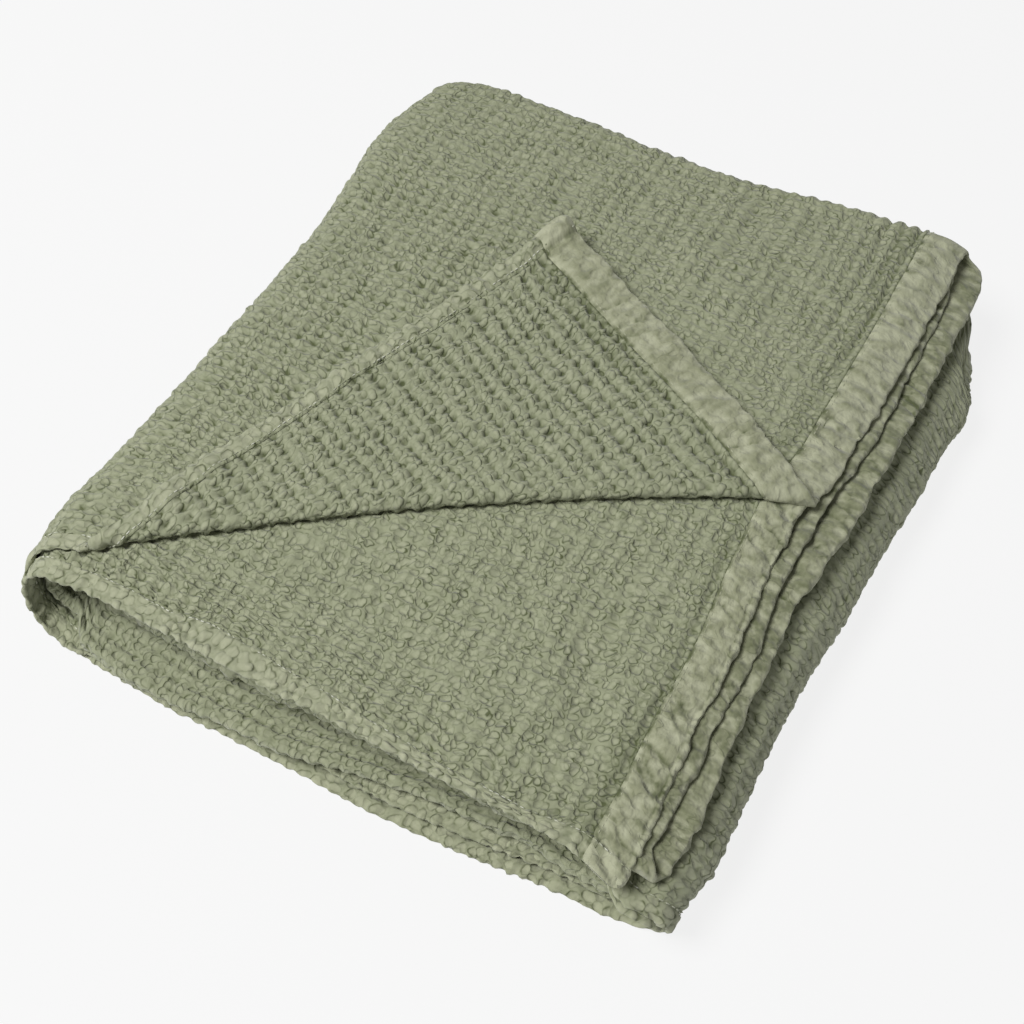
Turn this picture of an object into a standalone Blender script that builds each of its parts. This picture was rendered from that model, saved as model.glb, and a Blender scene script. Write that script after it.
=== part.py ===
"""A waffle weave cotton blanket, folded, with one corner of its top ply turned back.

The pieces are cut and sewn flat, in cloth coordinates: s runs across the blanket's width from its outer bound
end, t along its length from the side hem that ends on top, and h out of the cloth's face. Two fold paths and
a roll then carry every point of the flat pieces to its place in the stack: the length is folded in four, the
bundle of four plies is wrapped in three, and the corner between hem and bound end is rolled back over the
top. Metres, +Z up, with the underside at Z = 0 and the footprint's centre at the origin.
"""

from collections import namedtuple
from math import acos, cos, hypot, pi, radians, sin

import bmesh
import bpy
import numpy as np

# Cloth
CLOTH_THICKNESS = 0.0024
HEM_WIDTH = 0.016
HEM_EXTRA = 0.0010  # what the turned-under layer adds on the back of the cloth
HEM_STEP = 0.0015  # the run from the hem's thickness to the cloth's
BINDING_WIDTH = 0.031
BINDING_CLOTH = 0.0009
SEWN_GAP = 0.0003  # between a binding and the cloth inside it
EDGE_ARCS = 3  # facets round a binding's outer edge

# Stack
PLY_PITCH = 0.0062
DEPTH = 0.570  # front hem to back fold
TOP_SLOPE = 2.8  # degrees by which the top falls towards the wrapped side
MIDDLE_SLOPE = 2.2  # and the panel in the middle
END_DROOP = 7.0  # degrees by which the bound end bends down over the fold below it
RIGHT_FOLD_RADIUS = 0.022
LEFT_WRAP_RADIUS = 0.0275
END_RUN = 0.060
TOP_RUN = 0.369
BOTTOM_RUN = 0.4340
MIDDLE_RUN = 0.435

OUTER_PLY = 1.5 * PLY_PITCH  # the outermost ply's middle, from the bundle's middle
BUNDLE_HALF = OUTER_PLY + CLOTH_THICKNESS / 2
FRONT_FOLD_RADIUS = 0.0050
FRONT_FOLD_FLARE = 0.015
FRONT_FOLD_INSET = 0.007  # how far the inner front fold lies behind the hem on top
INNER_FOLD_INSET = 0.004  # and the inner back fold behind the outer one
LOWER_HEM_INSET = -0.002  # and the second hem, which stands a little proud

# The corner that is turned back
FLAP_ALONG_END = 0.300
FLAP_ALONG_HEM = 0.460
FLAP_ROLL = 0.0045
FLAP_CUTS = 5
FLAP_BOW = 0.016  # how far the fold bows towards the back, half-way along
FLAP_BOW_FADE = 0.110
FLAP_EASE = 1.04  # the rolled cloth is squashed a little, so the corner reaches further
FLAP_LEAN = 0.034  # and leans towards the bound end
HEM_PULL = 0.020  # how far turning the corner back drags the hem, where the crease meets it
HEM_PULL_AT = 0.412
HEM_PULL_FADE = 0.075
TIP_LIFT = 0.006
TIP_REACH = 0.120
TIP_CUTS = 3

# Where the footprint's centre lies from the corner of the second hem and the bound end
FOOTPRINT_X = -0.21495
FOOTPRINT_Y = 0.27965
STACK_HEIGHT = 0.080  # at which a push lifts or sinks by its full amount

CUT_SNAP = 1e-6  # corners this near to a cut are taken to lie on it
SHARP_ANGLE = 40  # degrees
WAFFLE_COLOUR = (0.33, 0.36, 0.24)
PLAIN_COLOUR = (0.40, 0.42, 0.30)

Stretch = namedtuple("Stretch", "name length turn cuts slide")
Push = namedtuple("Push", "name x y z reach reach_z by_x by_y by_z")

# Soft pushes by hand and by weight, which leave no two plies quite alike.
PUSHES = (
    Push("lower front right tucked in", 0.00, 0.00, 0.000, 0.14, 0.050, -0.004, 0.018, 0.0),
    Push("lower back right tucked in", 0.02, 0.57, 0.010, 0.13, 0.060, 0.000, -0.030, 0.0),
    Push("right side swells", 0.04, 0.42, 0.025, 0.20, 0.045, 0.014, 0.000, 0.0),
    Push("back left corner swells", -0.48, 0.50, 0.040, 0.16, 0.200, -0.018, 0.006, 0.0),
    Push("front left belly", -0.30, 0.00, 0.010, 0.22, 0.045, 0.000, -0.016, 0.0),
    Push("front corner sinks", 0.02, -0.02, 0.080, 0.09, 0.080, 0.000, -0.002, -0.010),
    Push("crown", -0.22, 0.30, 0.080, 0.20, 0.090, 0.000, 0.000, 0.004),
    Push("back left hollow", -0.36, 0.50, 0.080, 0.10, 0.090, 0.000, 0.000, -0.004),
    Push("left side wave", -0.48, 0.20, 0.040, 0.07, 0.200, -0.004, 0.000, 0.0),
)


class Path:
    """A run of straight and evenly curved stretches, from a start point and heading."""

    def __init__(self, stretches, start, heading):
        self.stretches = stretches
        begins = []
        distance = 0.0
        along, across = start
        for stretch in stretches:
            bend = radians(stretch.turn) / stretch.length
            begins.append((distance, along, across, heading, bend))
            turned = bend * stretch.length
            chord = stretch.length * float(np.sinc(turned / (2 * pi)))
            along += chord * cos(heading + turned / 2)
            across += chord * sin(heading + turned / 2)
            heading += turned
            distance += stretch.length
        self.length = distance
        self.begin, self.along, self.across, self.heading, self.bend = np.array(begins).T

    def at(self, distance):
        """Place and heading of the path at each distance along it."""
        row = np.searchsorted(self.begin, distance, side="right") - 1
        row = np.clip(row, 0, len(self.begin) - 1)
        step = distance - self.begin[row]
        turned = self.bend[row] * step
        chord = step * np.sinc(turned / (2 * pi))
        middle = self.heading[row] + turned / 2
        along = self.along[row] + chord * np.cos(middle)
        across = self.across[row] + chord * np.sin(middle)
        return along, across, self.heading[row] + turned

    def slide_at(self, distance):
        """How far the bundle's plies have slid past each other, at each distance."""
        ends = np.append(self.begin, self.length)
        slides = [0.0] + [stretch.slide for stretch in self.stretches]
        return np.interp(distance, ends, slides)

    def stations(self):
        """Distances of the cuts that let the flat cloth follow the path."""
        found = []
        for begin, stretch in zip(self.begin, self.stretches):
            found += [begin + stretch.length * cut / stretch.cuts for cut in range(stretch.cuts)]
        return found[1:]


def panel_path():
    """The wrap in three: top, down round the left, bottom, up round the right, and in between."""
    wrap = 180 - TOP_SLOPE
    fold = 180 + MIDDLE_SLOPE
    stretches = (
        Stretch("bound end", END_RUN, END_DROOP + TOP_SLOPE, 3, 0),
        Stretch("top", TOP_RUN, 0, 6, 0),
        Stretch("left wrap", LEFT_WRAP_RADIUS * radians(wrap), wrap, 7, 0),
        Stretch("bottom", BOTTOM_RUN, 0, 5, 0),
        Stretch("right fold", RIGHT_FOLD_RADIUS * radians(fold), fold, 7, 0),
        Stretch("middle", MIDDLE_RUN, 0, 4, 0),
    )
    path = Path(stretches, (0.0, 0.0), radians(180 - END_DROOP))
    bottom = [stretch.name for stretch in stretches].index("bottom")
    path.across += BUNDLE_HALF - path.across[bottom]
    return path


def fold_stretches(name, pitch, radius, flare, turn, cuts, slide):
    """A fold between two plies, swelling past their pitch where its radius is more than half of it."""
    swell = acos((pitch + 2 * flare) / (2 * radius + 2 * flare))
    opening = np.degrees(swell)
    side = 1 if turn > 0 else -1
    flare_row = Stretch(name + " flare", flare * swell, -side * opening, 1, slide)
    bend = Stretch(name, radius * (pi + 2 * swell), turn + side * 2 * opening, cuts, slide)
    return (flare_row, bend, flare_row)


def plain_fold(name, radius, turn, cuts, slide):
    return (Stretch(name, radius * pi, turn, cuts, slide),)


def ply_path():
    """The length folded in four: back, forwards underneath, back and forwards again between."""
    back = DEPTH - OUTER_PLY
    inner_back = back - INNER_FOLD_INSET
    front_fold = fold_stretches(
        "front fold", PLY_PITCH, FRONT_FOLD_RADIUS, FRONT_FOLD_FLARE, -180, 5, -0.026
    )
    swell = front_fold[0].length + FRONT_FOLD_RADIUS
    front = FRONT_FOLD_INSET + swell
    stretches = (
        (Stretch("top ply", back, 0, 6, -0.006),)
        + plain_fold("outer back fold", OUTER_PLY, -180, 6, -0.008)
        + (Stretch("fourth ply", back - front, 0, 5, -0.026),)
        + front_fold
        + (Stretch("third ply", inner_back - front, 0, 5, -0.008),)
        + plain_fold("inner back fold", PLY_PITCH / 2, 180, 5, -0.006)
        + (Stretch("second ply", inner_back - LOWER_HEM_INSET, 0, 5, 0.0),)
    )
    return Path(stretches, (0.0, OUTER_PLY), 0.0)


PANELS = panel_path()
PLIES = ply_path()
WIDTH = PANELS.length
LENGTH = PLIES.length

FLAP_NORMAL = 1 / hypot(1 / FLAP_ALONG_HEM, 1 / FLAP_ALONG_END)
FLAP_S = FLAP_NORMAL / FLAP_ALONG_HEM
FLAP_T = FLAP_NORMAL / FLAP_ALONG_END
FLAP_CREASE = hypot(FLAP_ALONG_HEM, FLAP_ALONG_END)
HEM_LINES = (HEM_WIDTH, HEM_WIDTH + HEM_STEP)
HEM_ENDS = (BINDING_WIDTH, BINDING_WIDTH + SEWN_GAP, BINDING_WIDTH + SEWN_GAP + HEM_STEP)


def smooth_step(value):
    clipped = np.clip(value, 0.0, 1.0)
    return clipped * clipped * (3 - 2 * clipped)


def hem_dragged(s, t):
    """The top ply's hem, pulled back more and more up to the place where the crease meets it."""
    rise = np.clip(s / HEM_PULL_AT, 0, 1)
    fall = 1 - smooth_step((s - HEM_PULL_AT) / HEM_PULL_FADE)
    fade = 1 - smooth_step(t / FLAP_ALONG_END)
    return t + HEM_PULL * rise * fall * fade


def turned_back(s, t, h):
    """Rolls the top ply's corner over the crease, and lays it on the ply."""
    t = hem_dragged(s, t)
    beyond = FLAP_NORMAL - (s * FLAP_S + t * FLAP_T)
    along = np.clip((s * FLAP_T - t * FLAP_S + FLAP_ALONG_END * FLAP_S) / FLAP_CREASE, 0, 1)
    angle = np.clip(beyond / FLAP_ROLL, 0, pi)
    past = np.maximum(beyond - pi * FLAP_ROLL, 0) * FLAP_EASE
    rolled = np.minimum(beyond, 0) + (FLAP_ROLL - h) * np.sin(angle) - past
    lifted = FLAP_ROLL - (FLAP_ROLL - h) * np.cos(angle)
    tip = smooth_step((beyond - FLAP_NORMAL + TIP_REACH) / TIP_REACH)
    lifted += TIP_LIFT * tip
    bow = 4 * FLAP_BOW * along * (1 - along) * smooth_step(1 + beyond / FLAP_BOW_FADE)
    top_ply = t < DEPTH - OUTER_PLY
    shift = np.where(top_ply, beyond - rolled + bow, 0)
    lean = np.where(top_ply, past * FLAP_LEAN, 0)
    return s + shift * FLAP_S - lean * FLAP_T, t + shift * FLAP_T + lean * FLAP_S, lifted


def pushed(points):
    """The stack's softness: each push fades out round its centre, and none lifts the underside."""
    moved = points.copy()
    for push in PUSHES:
        away = (points[:, 0] - push.x) ** 2 + (points[:, 1] - push.y) ** 2
        weight = np.exp(-away / push.reach**2 - ((points[:, 2] - push.z) / push.reach_z) ** 2)
        moved[:, 0] += weight * push.by_x
        moved[:, 1] += weight * push.by_y
        moved[:, 2] += weight * push.by_z * points[:, 2] / STACK_HEIGHT
    return moved


def folded(flat):
    """Carries points from cloth coordinates to the folded stack."""
    s, t, h = turned_back(*flat.T)
    y, level, ply_heading = PLIES.at(t)
    y = y - h * np.sin(ply_heading)
    level = level + h * np.cos(ply_heading)
    x, z, panel_heading = PANELS.at(s + PLIES.slide_at(t))
    x = x + level * np.sin(panel_heading)
    z = z - level * np.cos(panel_heading)
    points = pushed(np.column_stack((x, y, z)))
    points[:, 0] -= FOOTPRINT_X
    points[:, 1] -= FOOTPRINT_Y
    return points


def cut(shape, point, normal):
    everything = shape.verts[:] + shape.edges[:] + shape.faces[:]
    bmesh.ops.bisect_plane(
        shape, geom=everything, dist=CUT_SNAP, plane_co=point, plane_no=normal
    )


def cut_for_folds(shape):
    """Lets the flat piece bend at each station of both paths, and where its corner rolls and lifts."""
    for s in PANELS.stations() + list(HEM_ENDS) + [WIDTH - s for s in HEM_ENDS]:
        cut(shape, (s, 0, 0), (1, 0, 0))
    for t in PLIES.stations() + list(HEM_LINES) + [LENGTH - t for t in HEM_LINES]:
        cut(shape, (0, t, 0), (0, 1, 0))
    rolled = [FLAP_NORMAL - pi * FLAP_ROLL * step / FLAP_CUTS for step in range(FLAP_CUTS + 1)]
    lifted = [TIP_REACH * (step + 1) / TIP_CUTS for step in range(TIP_CUTS)]
    for reach in rolled + lifted:
        cut(shape, (reach * FLAP_S, reach * FLAP_T, 0), (FLAP_S, FLAP_T, 0))


def fold_up(shape):
    """Folds a flat piece. The paths run right to left, so its faces are turned to point out again."""
    bmesh.ops.recalc_face_normals(shape, faces=shape.faces)
    bmesh.ops.triangulate(shape, faces=shape.faces)
    flat = np.array([vertex.co for vertex in shape.verts])
    for vertex, place in zip(shape.verts, folded(flat)):
        vertex.co = place
    bmesh.ops.reverse_faces(shape, faces=shape.faces)


def material(name, colour, roughness):
    made = bpy.data.materials.new(name)
    made.use_nodes = True
    shader = made.node_tree.nodes["Principled BSDF"]
    shader.inputs["Base Color"].default_value = (*colour, 1)
    shader.inputs["Roughness"].default_value = roughness
    shader.inputs["Metallic"].default_value = 0
    return made


def add_piece(name, shape, finish, collection):
    mesh = bpy.data.meshes.new(name)
    shape.to_mesh(mesh)
    shape.free()
    mesh.shade_smooth()
    mesh.set_sharp_from_angle(angle=radians(SHARP_ANGLE))
    mesh.materials.append(finish)
    collection.objects.link(bpy.data.objects.new(name, mesh))


def box(shape, low, high):
    """A block between two corners, in cloth coordinates."""
    made = bmesh.ops.create_cube(shape, size=1)["verts"]
    for vertex in made:
        vertex.co = [lo + (hi - lo) * (part + 0.5) for lo, hi, part in zip(low, high, vertex.co)]


def make_cloth(collection, finish):
    """The waffle cloth, cut as one flat length with its side hems turned under."""
    inset = BINDING_CLOTH + SEWN_GAP
    half = CLOTH_THICKNESS / 2
    shape = bmesh.new()
    box(shape, (inset, 0, -half), (WIDTH - inset, LENGTH, half))
    cut_for_folds(shape)
    for vertex in shape.verts:
        from_side = min(vertex.co.y, LENGTH - vertex.co.y)
        from_end = min(vertex.co.x, WIDTH - vertex.co.x)
        in_hem = from_side < HEM_WIDTH + HEM_STEP / 2 and from_end > HEM_ENDS[2] - HEM_STEP / 2
        if vertex.co.z < 0 and in_hem:
            vertex.co.z -= HEM_EXTRA
    fold_up(shape)
    add_piece("blanket_cloth", shape, finish, collection)


def make_binding(name, s_edge, inwards, collection, finish):
    """A plain strip folded round one end of the cloth, open along its inner side."""
    inner = CLOTH_THICKNESS / 2 + SEWN_GAP
    outer = inner + BINDING_CLOTH
    outline = [(BINDING_WIDTH, inner), (BINDING_WIDTH, outer)]
    for step in range(EDGE_ARCS + 1):
        angle = pi * step / EDGE_ARCS
        outline.append((BINDING_CLOTH * (1 - sin(angle)), outer * cos(angle)))
    outline += [(BINDING_WIDTH, -outer), (BINDING_WIDTH, -inner)]
    outline += [(BINDING_CLOTH, -inner), (BINDING_CLOTH, inner)]
    shape = bmesh.new()
    corners = [shape.verts.new((s_edge + inwards * s, 0, h)) for s, h in outline]
    face = shape.faces.new(corners)
    pulled = bmesh.ops.extrude_face_region(shape, geom=[face])["geom"]
    ends = [item for item in pulled if isinstance(item, bmesh.types.BMVert)]
    bmesh.ops.translate(shape, verts=ends, vec=(0, LENGTH, 0))
    cut_for_folds(shape)
    fold_up(shape)
    add_piece(name, shape, finish, collection)


def main():
    for old in list(bpy.data.objects):
        bpy.data.objects.remove(old, do_unlink=True)
    collection = bpy.data.collections.new("folded waffle blanket")
    bpy.context.scene.collection.children.link(collection)
    waffle = material("sage waffle cotton", WAFFLE_COLOUR, 0.95)
    plain = material("sage plain cotton", PLAIN_COLOUR, 0.90)
    make_cloth(collection, waffle)
    make_binding("outer_end_binding", 0.0, 1, collection, plain)
    make_binding("inner_end_binding", WIDTH, -1, collection, plain)


main()
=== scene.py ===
"""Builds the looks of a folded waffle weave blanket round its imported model.

Each piece is laid out flat, in cloth coordinates: s runs across the blanket's width from its outer bound end, t
along its length from the side hem that ends on top, and h out of the cloth's face. Waffle cells, hems, puckers
and creases are raised there, and the folds then carry every point to its place in the stack.
"""

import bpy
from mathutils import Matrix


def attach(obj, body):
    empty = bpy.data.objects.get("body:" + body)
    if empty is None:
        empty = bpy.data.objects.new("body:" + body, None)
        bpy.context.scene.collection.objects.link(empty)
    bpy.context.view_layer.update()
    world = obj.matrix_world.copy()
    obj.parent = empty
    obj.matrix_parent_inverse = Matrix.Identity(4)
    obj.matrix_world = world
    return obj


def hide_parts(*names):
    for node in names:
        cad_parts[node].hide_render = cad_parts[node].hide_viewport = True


bl_info = {
    "name": "Folded waffle blanket",
    "version": (1, 0, 0),
    "blender": (4, 5, 0),
    "location": "3D View > Sidebar > Waffle Blanket",
    "description": "Makes a folded waffle weave blanket, its bound ends, its stitches and its stage",
    "category": "Object",
}

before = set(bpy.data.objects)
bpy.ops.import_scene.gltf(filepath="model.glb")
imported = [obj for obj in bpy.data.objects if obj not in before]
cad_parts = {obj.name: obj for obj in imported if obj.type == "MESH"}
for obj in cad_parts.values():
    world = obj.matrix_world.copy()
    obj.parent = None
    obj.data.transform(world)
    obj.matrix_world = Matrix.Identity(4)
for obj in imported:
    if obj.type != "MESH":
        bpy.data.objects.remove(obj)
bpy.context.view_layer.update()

from collections import namedtuple
from math import acos, cos, hypot, pi, radians, sin

import bmesh
import bpy
import numpy as np
from mathutils import Matrix, Vector

# Folds, as in the model
CLOTH_THICKNESS = 0.0024
HEM_WIDTH = 0.016
BINDING_WIDTH = 0.031
PLY_PITCH = 0.0062
DEPTH = 0.570
TOP_SLOPE = 2.8
MIDDLE_SLOPE = 2.2
END_DROOP = 7.0
RIGHT_FOLD_RADIUS = 0.022
LEFT_WRAP_RADIUS = 0.0275
END_RUN = 0.060
TOP_RUN = 0.369
BOTTOM_RUN = 0.4340
MIDDLE_RUN = 0.435
OUTER_PLY = 1.5 * PLY_PITCH
BUNDLE_HALF = OUTER_PLY + CLOTH_THICKNESS / 2
FRONT_FOLD_RADIUS = 0.0050
FRONT_FOLD_FLARE = 0.015
FRONT_FOLD_INSET = 0.007
INNER_FOLD_INSET = 0.004
LOWER_HEM_INSET = -0.002

# The corner that is turned back
FLAP_ALONG_END = 0.300
FLAP_ALONG_HEM = 0.460
FLAP_ROLL = 0.0045
FLAP_BOW = 0.016
FLAP_BOW_FADE = 0.110
FLAP_EASE = 1.04
FLAP_LEAN = 0.034
HEM_PULL = 0.020
HEM_PULL_AT = 0.412
HEM_PULL_FADE = 0.075
TIP_LIFT = 0.006
TIP_REACH = 0.120

FOOTPRINT_X = -0.21495
FOOTPRINT_Y = 0.27965
STACK_HEIGHT = 0.080

Stretch = namedtuple("Stretch", "name length turn slide")
Push = namedtuple("Push", "name x y z reach reach_z by_x by_y by_z")
Crease = namedtuple("Crease", "name s t turn length width rise")
Bump = namedtuple("Bump", "name s t reach_s reach_t rise")

PUSHES = (
    Push("lower front right tucked in", 0, 0, 0, 0.14, 0.050, -0.004, 0.010, 0),
    Push("lower back right tucked in", 0.02, 0.57, 0.010, 0.13, 0.060, 0, -0.030, 0),
    Push("right side swells", 0.04, 0.42, 0.025, 0.20, 0.045, 0.014, 0, 0),
    Push("back left corner swells", -0.48, 0.50, 0.040, 0.16, 0.200, -0.018, 0.006, 0),
    Push("front left belly", -0.30, 0, 0.010, 0.22, 0.045, 0, -0.016, 0),
    Push("front corner sinks", 0.02, -0.02, 0.080, 0.09, 0.080, 0, -0.002, -0.010),
    Push("crown", -0.22, 0.30, 0.080, 0.20, 0.090, 0, 0, 0.004),
    Push("back left hollow", -0.36, 0.50, 0.080, 0.10, 0.090, 0, 0, -0.004),
    Push("left side wave", -0.48, 0.20, 0.040, 0.07, 0.200, -0.004, 0, 0),
    # The cloth's finer settling
    Push("left side near the front", -0.49, 0.14, 0.040, 0.08, 0.200, -0.006, 0, 0),
    Push("back left corner rounded", -0.50, 0.60, 0.070, 0.05, 0.200, 0.010, -0.010, 0),
    Push("back left bulge", -0.41, 0.58, 0.060, 0.06, 0.080, 0, 0.006, 0),
    Push("back dip", -0.24, 0.58, 0.060, 0.07, 0.080, 0, -0.003, 0),
    Push("back right bulge", -0.05, 0.58, 0.090, 0.09, 0.050, 0, 0.009, 0),
    Push("right fold's far end", 0.05, 0.58, 0.025, 0.09, 0.035, 0, -0.020, 0),
    Push("right fold swells", 0.04, 0.25, 0.030, 0.16, 0.040, 0.005, 0, 0),
    Push("lower front belly", -0.10, -0.02, 0.015, 0.13, 0.040, 0, -0.008, 0),
    Push("lower front left", -0.40, -0.02, 0.010, 0.07, 0.040, 0, -0.004, 0),
    Push("front left swell", -0.34, -0.02, 0.015, 0.05, 0.040, 0, -0.005, 0),
    Push("right fold's far swell", 0.05, 0.500, 0.030, 0.060, 0.035, 0.0115, 0, 0),
    Push("right fold's middle swell", 0.05, 0.385, 0.030, 0.040, 0.040, 0.003, 0, 0),
    Push("right fold's notch", 0.035, 0.545, 0.048, 0.035, 0.014, -0.003, -0.022, 0),
    Push("back right corner", 0.005, 0.575, 0.092, 0.030, 0.014, 0, 0.004, 0.002),
    Push("right fold's dip", 0.05, 0.32, 0.030, 0.070, 0.035, -0.004, 0, 0),
    Push("right fold's near dip", 0.05, 0.19, 0.030, 0.070, 0.035, -0.006, 0, 0),
    Push("back left side", -0.46, 0.49, 0.070, 0.050, 0.200, -0.005, 0, 0),
    Push("back left tip", -0.445, 0.570, 0.080, 0.035, 0.200, 0.003, -0.006, 0),
    Push("left side hollow", -0.46, 0.38, 0.070, 0.060, 0.200, 0.003, 0, 0),
    Push("left side dip", -0.46, 0.19, 0.070, 0.050, 0.200, 0.004, 0, 0),
    Push("left side near swell", -0.46, 0.055, 0.070, 0.040, 0.200, -0.006, 0, 0),
    Push("front left corner", -0.46, -0.010, 0.060, 0.035, 0.200, 0.005, 0, 0),
    Push("back edge's hollow", -0.17, 0.58, 0.080, 0.060, 0.060, 0, -0.005, 0),
    Push("back edge's swell", -0.32, 0.58, 0.080, 0.050, 0.060, 0, 0.003, 0),
    Push("front right toe", 0.045, 0, 0.025, 0.032, 0.050, -0.005, 0.004, 0),
    Push("front right heel", 0.037, 0.055, 0.030, 0.030, 0.050, 0.003, 0, 0),
    Push("front beside the toe", 0, 0, 0.020, 0.028, 0.050, 0, -0.003, 0),
    Push("back right lower bulge", 0.022, 0.575, 0.067, 0.035, 0.011, 0, 0.020, 0),
)

# Creases of the top ply, with t from its hem, and of the second ply, with t from its own hem
TOP_CREASES = (
    Crease("far trough by the end", 0.058, 0.500, 88, 0.15, 0.0060, -0.0013),
    Crease("far ridge by the end", 0.074, 0.470, 92, 0.17, 0.0070, 0.0010),
    Crease("far trough one", 0.104, 0.480, 86, 0.16, 0.0080, -0.0014),
    Crease("far trough two", 0.154, 0.500, 93, 0.14, 0.0070, -0.0014),
    Crease("far ridge two", 0.178, 0.480, 90, 0.16, 0.0110, 0.0010),
    Crease("far trough three", 0.206, 0.450, 87, 0.13, 0.0080, -0.0014),
    Crease("far trough four", 0.244, 0.515, 91, 0.10, 0.0070, -0.0016),
    Crease("far trough five", 0.293, 0.510, 94, 0.11, 0.0080, -0.0020),
    Crease("far ridge five", 0.318, 0.490, 90, 0.12, 0.0120, 0.0013),
    Crease("far trough six", 0.356, 0.500, 84, 0.10, 0.0080, -0.0016),
    Crease("left slope", 0.380, 0.330, 80, 0.24, 0.0160, -0.0014),
    Crease("beside the hem", 0.330, 0.250, 64, 0.18, 0.0100, -0.0014),
    Crease("left ridge", 0.400, 0.180, 74, 0.16, 0.0120, 0.0014),
    Crease("front left trough", 0.425, 0.090, 60, 0.12, 0.0080, -0.0014),
    Crease("behind the tip", 0.250, 0.390, 60, 0.09, 0.0140, -0.0016),
)
SECOND_CREASES = (
    Crease("broad trough", 0.077, 0.100, 58, 0.12, 0.0150, -0.0030),
    Crease("ridge beside it", 0.108, 0.110, 62, 0.12, 0.0140, 0.0016),
    Crease("ridge by the end", 0.052, 0.105, 72, 0.13, 0.0100, 0.0012),
    Crease("small trough by the end", 0.058, 0.190, 96, 0.07, 0.0060, -0.0012),
    Crease("hollow by the hem", 0.190, 0.060, 18, 0.14, 0.0170, -0.0014),
    Crease("swell under the fold", 0.230, 0.140, 34, 0.14, 0.0180, 0.0012),
    Crease("wrinkle one", 0.150, 0.150, 48, 0.08, 0.0070, -0.0011),
    Crease("wrinkle two", 0.185, 0.110, 40, 0.09, 0.0070, 0.0011),
    Crease("left wrinkle", 0.345, 0.060, 12, 0.10, 0.0070, -0.0013),
    Crease("left ridge", 0.375, 0.044, 8, 0.12, 0.0070, 0.0012),
)


class Path:
    """A run of straight and evenly curved stretches, from a start point and heading."""

    def __init__(self, stretches, start, heading):
        self.stretches = stretches
        begins = []
        distance = 0.0
        along, across = start
        for stretch in stretches:
            bend = radians(stretch.turn) / stretch.length
            begins.append((distance, along, across, heading, bend))
            turned = bend * stretch.length
            chord = stretch.length * float(np.sinc(turned / (2 * pi)))
            along += chord * cos(heading + turned / 2)
            across += chord * sin(heading + turned / 2)
            heading += turned
            distance += stretch.length
        self.length = distance
        self.begin, self.along, self.across, self.heading, self.bend = np.array(begins).T

    def at(self, distance):
        """Place and heading of the path at each distance along it."""
        row = np.searchsorted(self.begin, distance, side="right") - 1
        row = np.clip(row, 0, len(self.begin) - 1)
        step = distance - self.begin[row]
        turned = self.bend[row] * step
        chord = step * np.sinc(turned / (2 * pi))
        middle = self.heading[row] + turned / 2
        along = self.along[row] + chord * np.cos(middle)
        across = self.across[row] + chord * np.sin(middle)
        return along, across, self.heading[row] + turned

    def slide_at(self, distance):
        """How far the bundle's plies have slid past each other, at each distance."""
        ends = np.append(self.begin, self.length)
        slides = [0.0] + [stretch.slide for stretch in self.stretches]
        return np.interp(distance, ends, slides)

    def start_of(self, name):
        """Where the stretch of that name begins."""
        names = [stretch.name for stretch in self.stretches]
        return float(self.begin[names.index(name)])


def panel_path():
    """The wrap in three: top, down round the left, bottom, up round the right, and in between."""
    wrap = 180 - TOP_SLOPE
    fold = 180 + MIDDLE_SLOPE
    stretches = (
        Stretch("bound end", END_RUN, END_DROOP + TOP_SLOPE, 0),
        Stretch("top", TOP_RUN, 0, 0),
        Stretch("left wrap", LEFT_WRAP_RADIUS * radians(wrap), wrap, 0),
        Stretch("bottom", BOTTOM_RUN, 0, 0),
        Stretch("right fold", RIGHT_FOLD_RADIUS * radians(fold), fold, 0),
        Stretch("middle", MIDDLE_RUN, 0, 0),
    )
    path = Path(stretches, (0.0, 0.0), radians(180 - END_DROOP))
    bottom = [stretch.name for stretch in stretches].index("bottom")
    path.across += BUNDLE_HALF - path.across[bottom]
    return path


def ply_path():
    """The length folded in four: back, forwards underneath, back and forwards again between."""
    back = DEPTH - OUTER_PLY
    inner_back = back - INNER_FOLD_INSET
    swell = acos((PLY_PITCH + 2 * FRONT_FOLD_FLARE) / (2 * (FRONT_FOLD_RADIUS + FRONT_FOLD_FLARE)))
    opening = np.degrees(swell)
    flare = Stretch("front fold flare", FRONT_FOLD_FLARE * swell, opening, -0.026)
    bend = Stretch("front fold", FRONT_FOLD_RADIUS * (pi + 2 * swell), -180 - 2 * opening, -0.026)
    front = FRONT_FOLD_INSET + flare.length + FRONT_FOLD_RADIUS
    stretches = (
        Stretch("top ply", back, 0, -0.006),
        Stretch("outer back fold", OUTER_PLY * pi, -180, -0.008),
        Stretch("fourth ply", back - front, 0, -0.026),
        flare,
        bend,
        flare,
        Stretch("third ply", inner_back - front, 0, -0.008),
        Stretch("inner back fold", PLY_PITCH / 2 * pi, 180, -0.006),
        Stretch("second ply", inner_back - LOWER_HEM_INSET, 0, 0.0),
    )
    return Path(stretches, (0.0, OUTER_PLY), 0.0)


PANELS = panel_path()
PLIES = ply_path()
WIDTH = PANELS.length
LENGTH = PLIES.length
LEFT_WRAP = PANELS.start_of("left wrap")
BOTTOM = PANELS.start_of("bottom")
RIGHT_FOLD = PANELS.start_of("right fold")
MIDDLE = PANELS.start_of("middle")
BACK_FOLD = PLIES.start_of("outer back fold")
FOURTH_PLY = PLIES.start_of("fourth ply")
FRONT_FOLD = PLIES.start_of("front fold")
INNER_BACK_FOLD = PLIES.start_of("inner back fold")
SECOND_PLY = PLIES.start_of("second ply")
BACK_FOLD_MIDDLE = (BACK_FOLD + FOURTH_PLY) / 2


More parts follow.
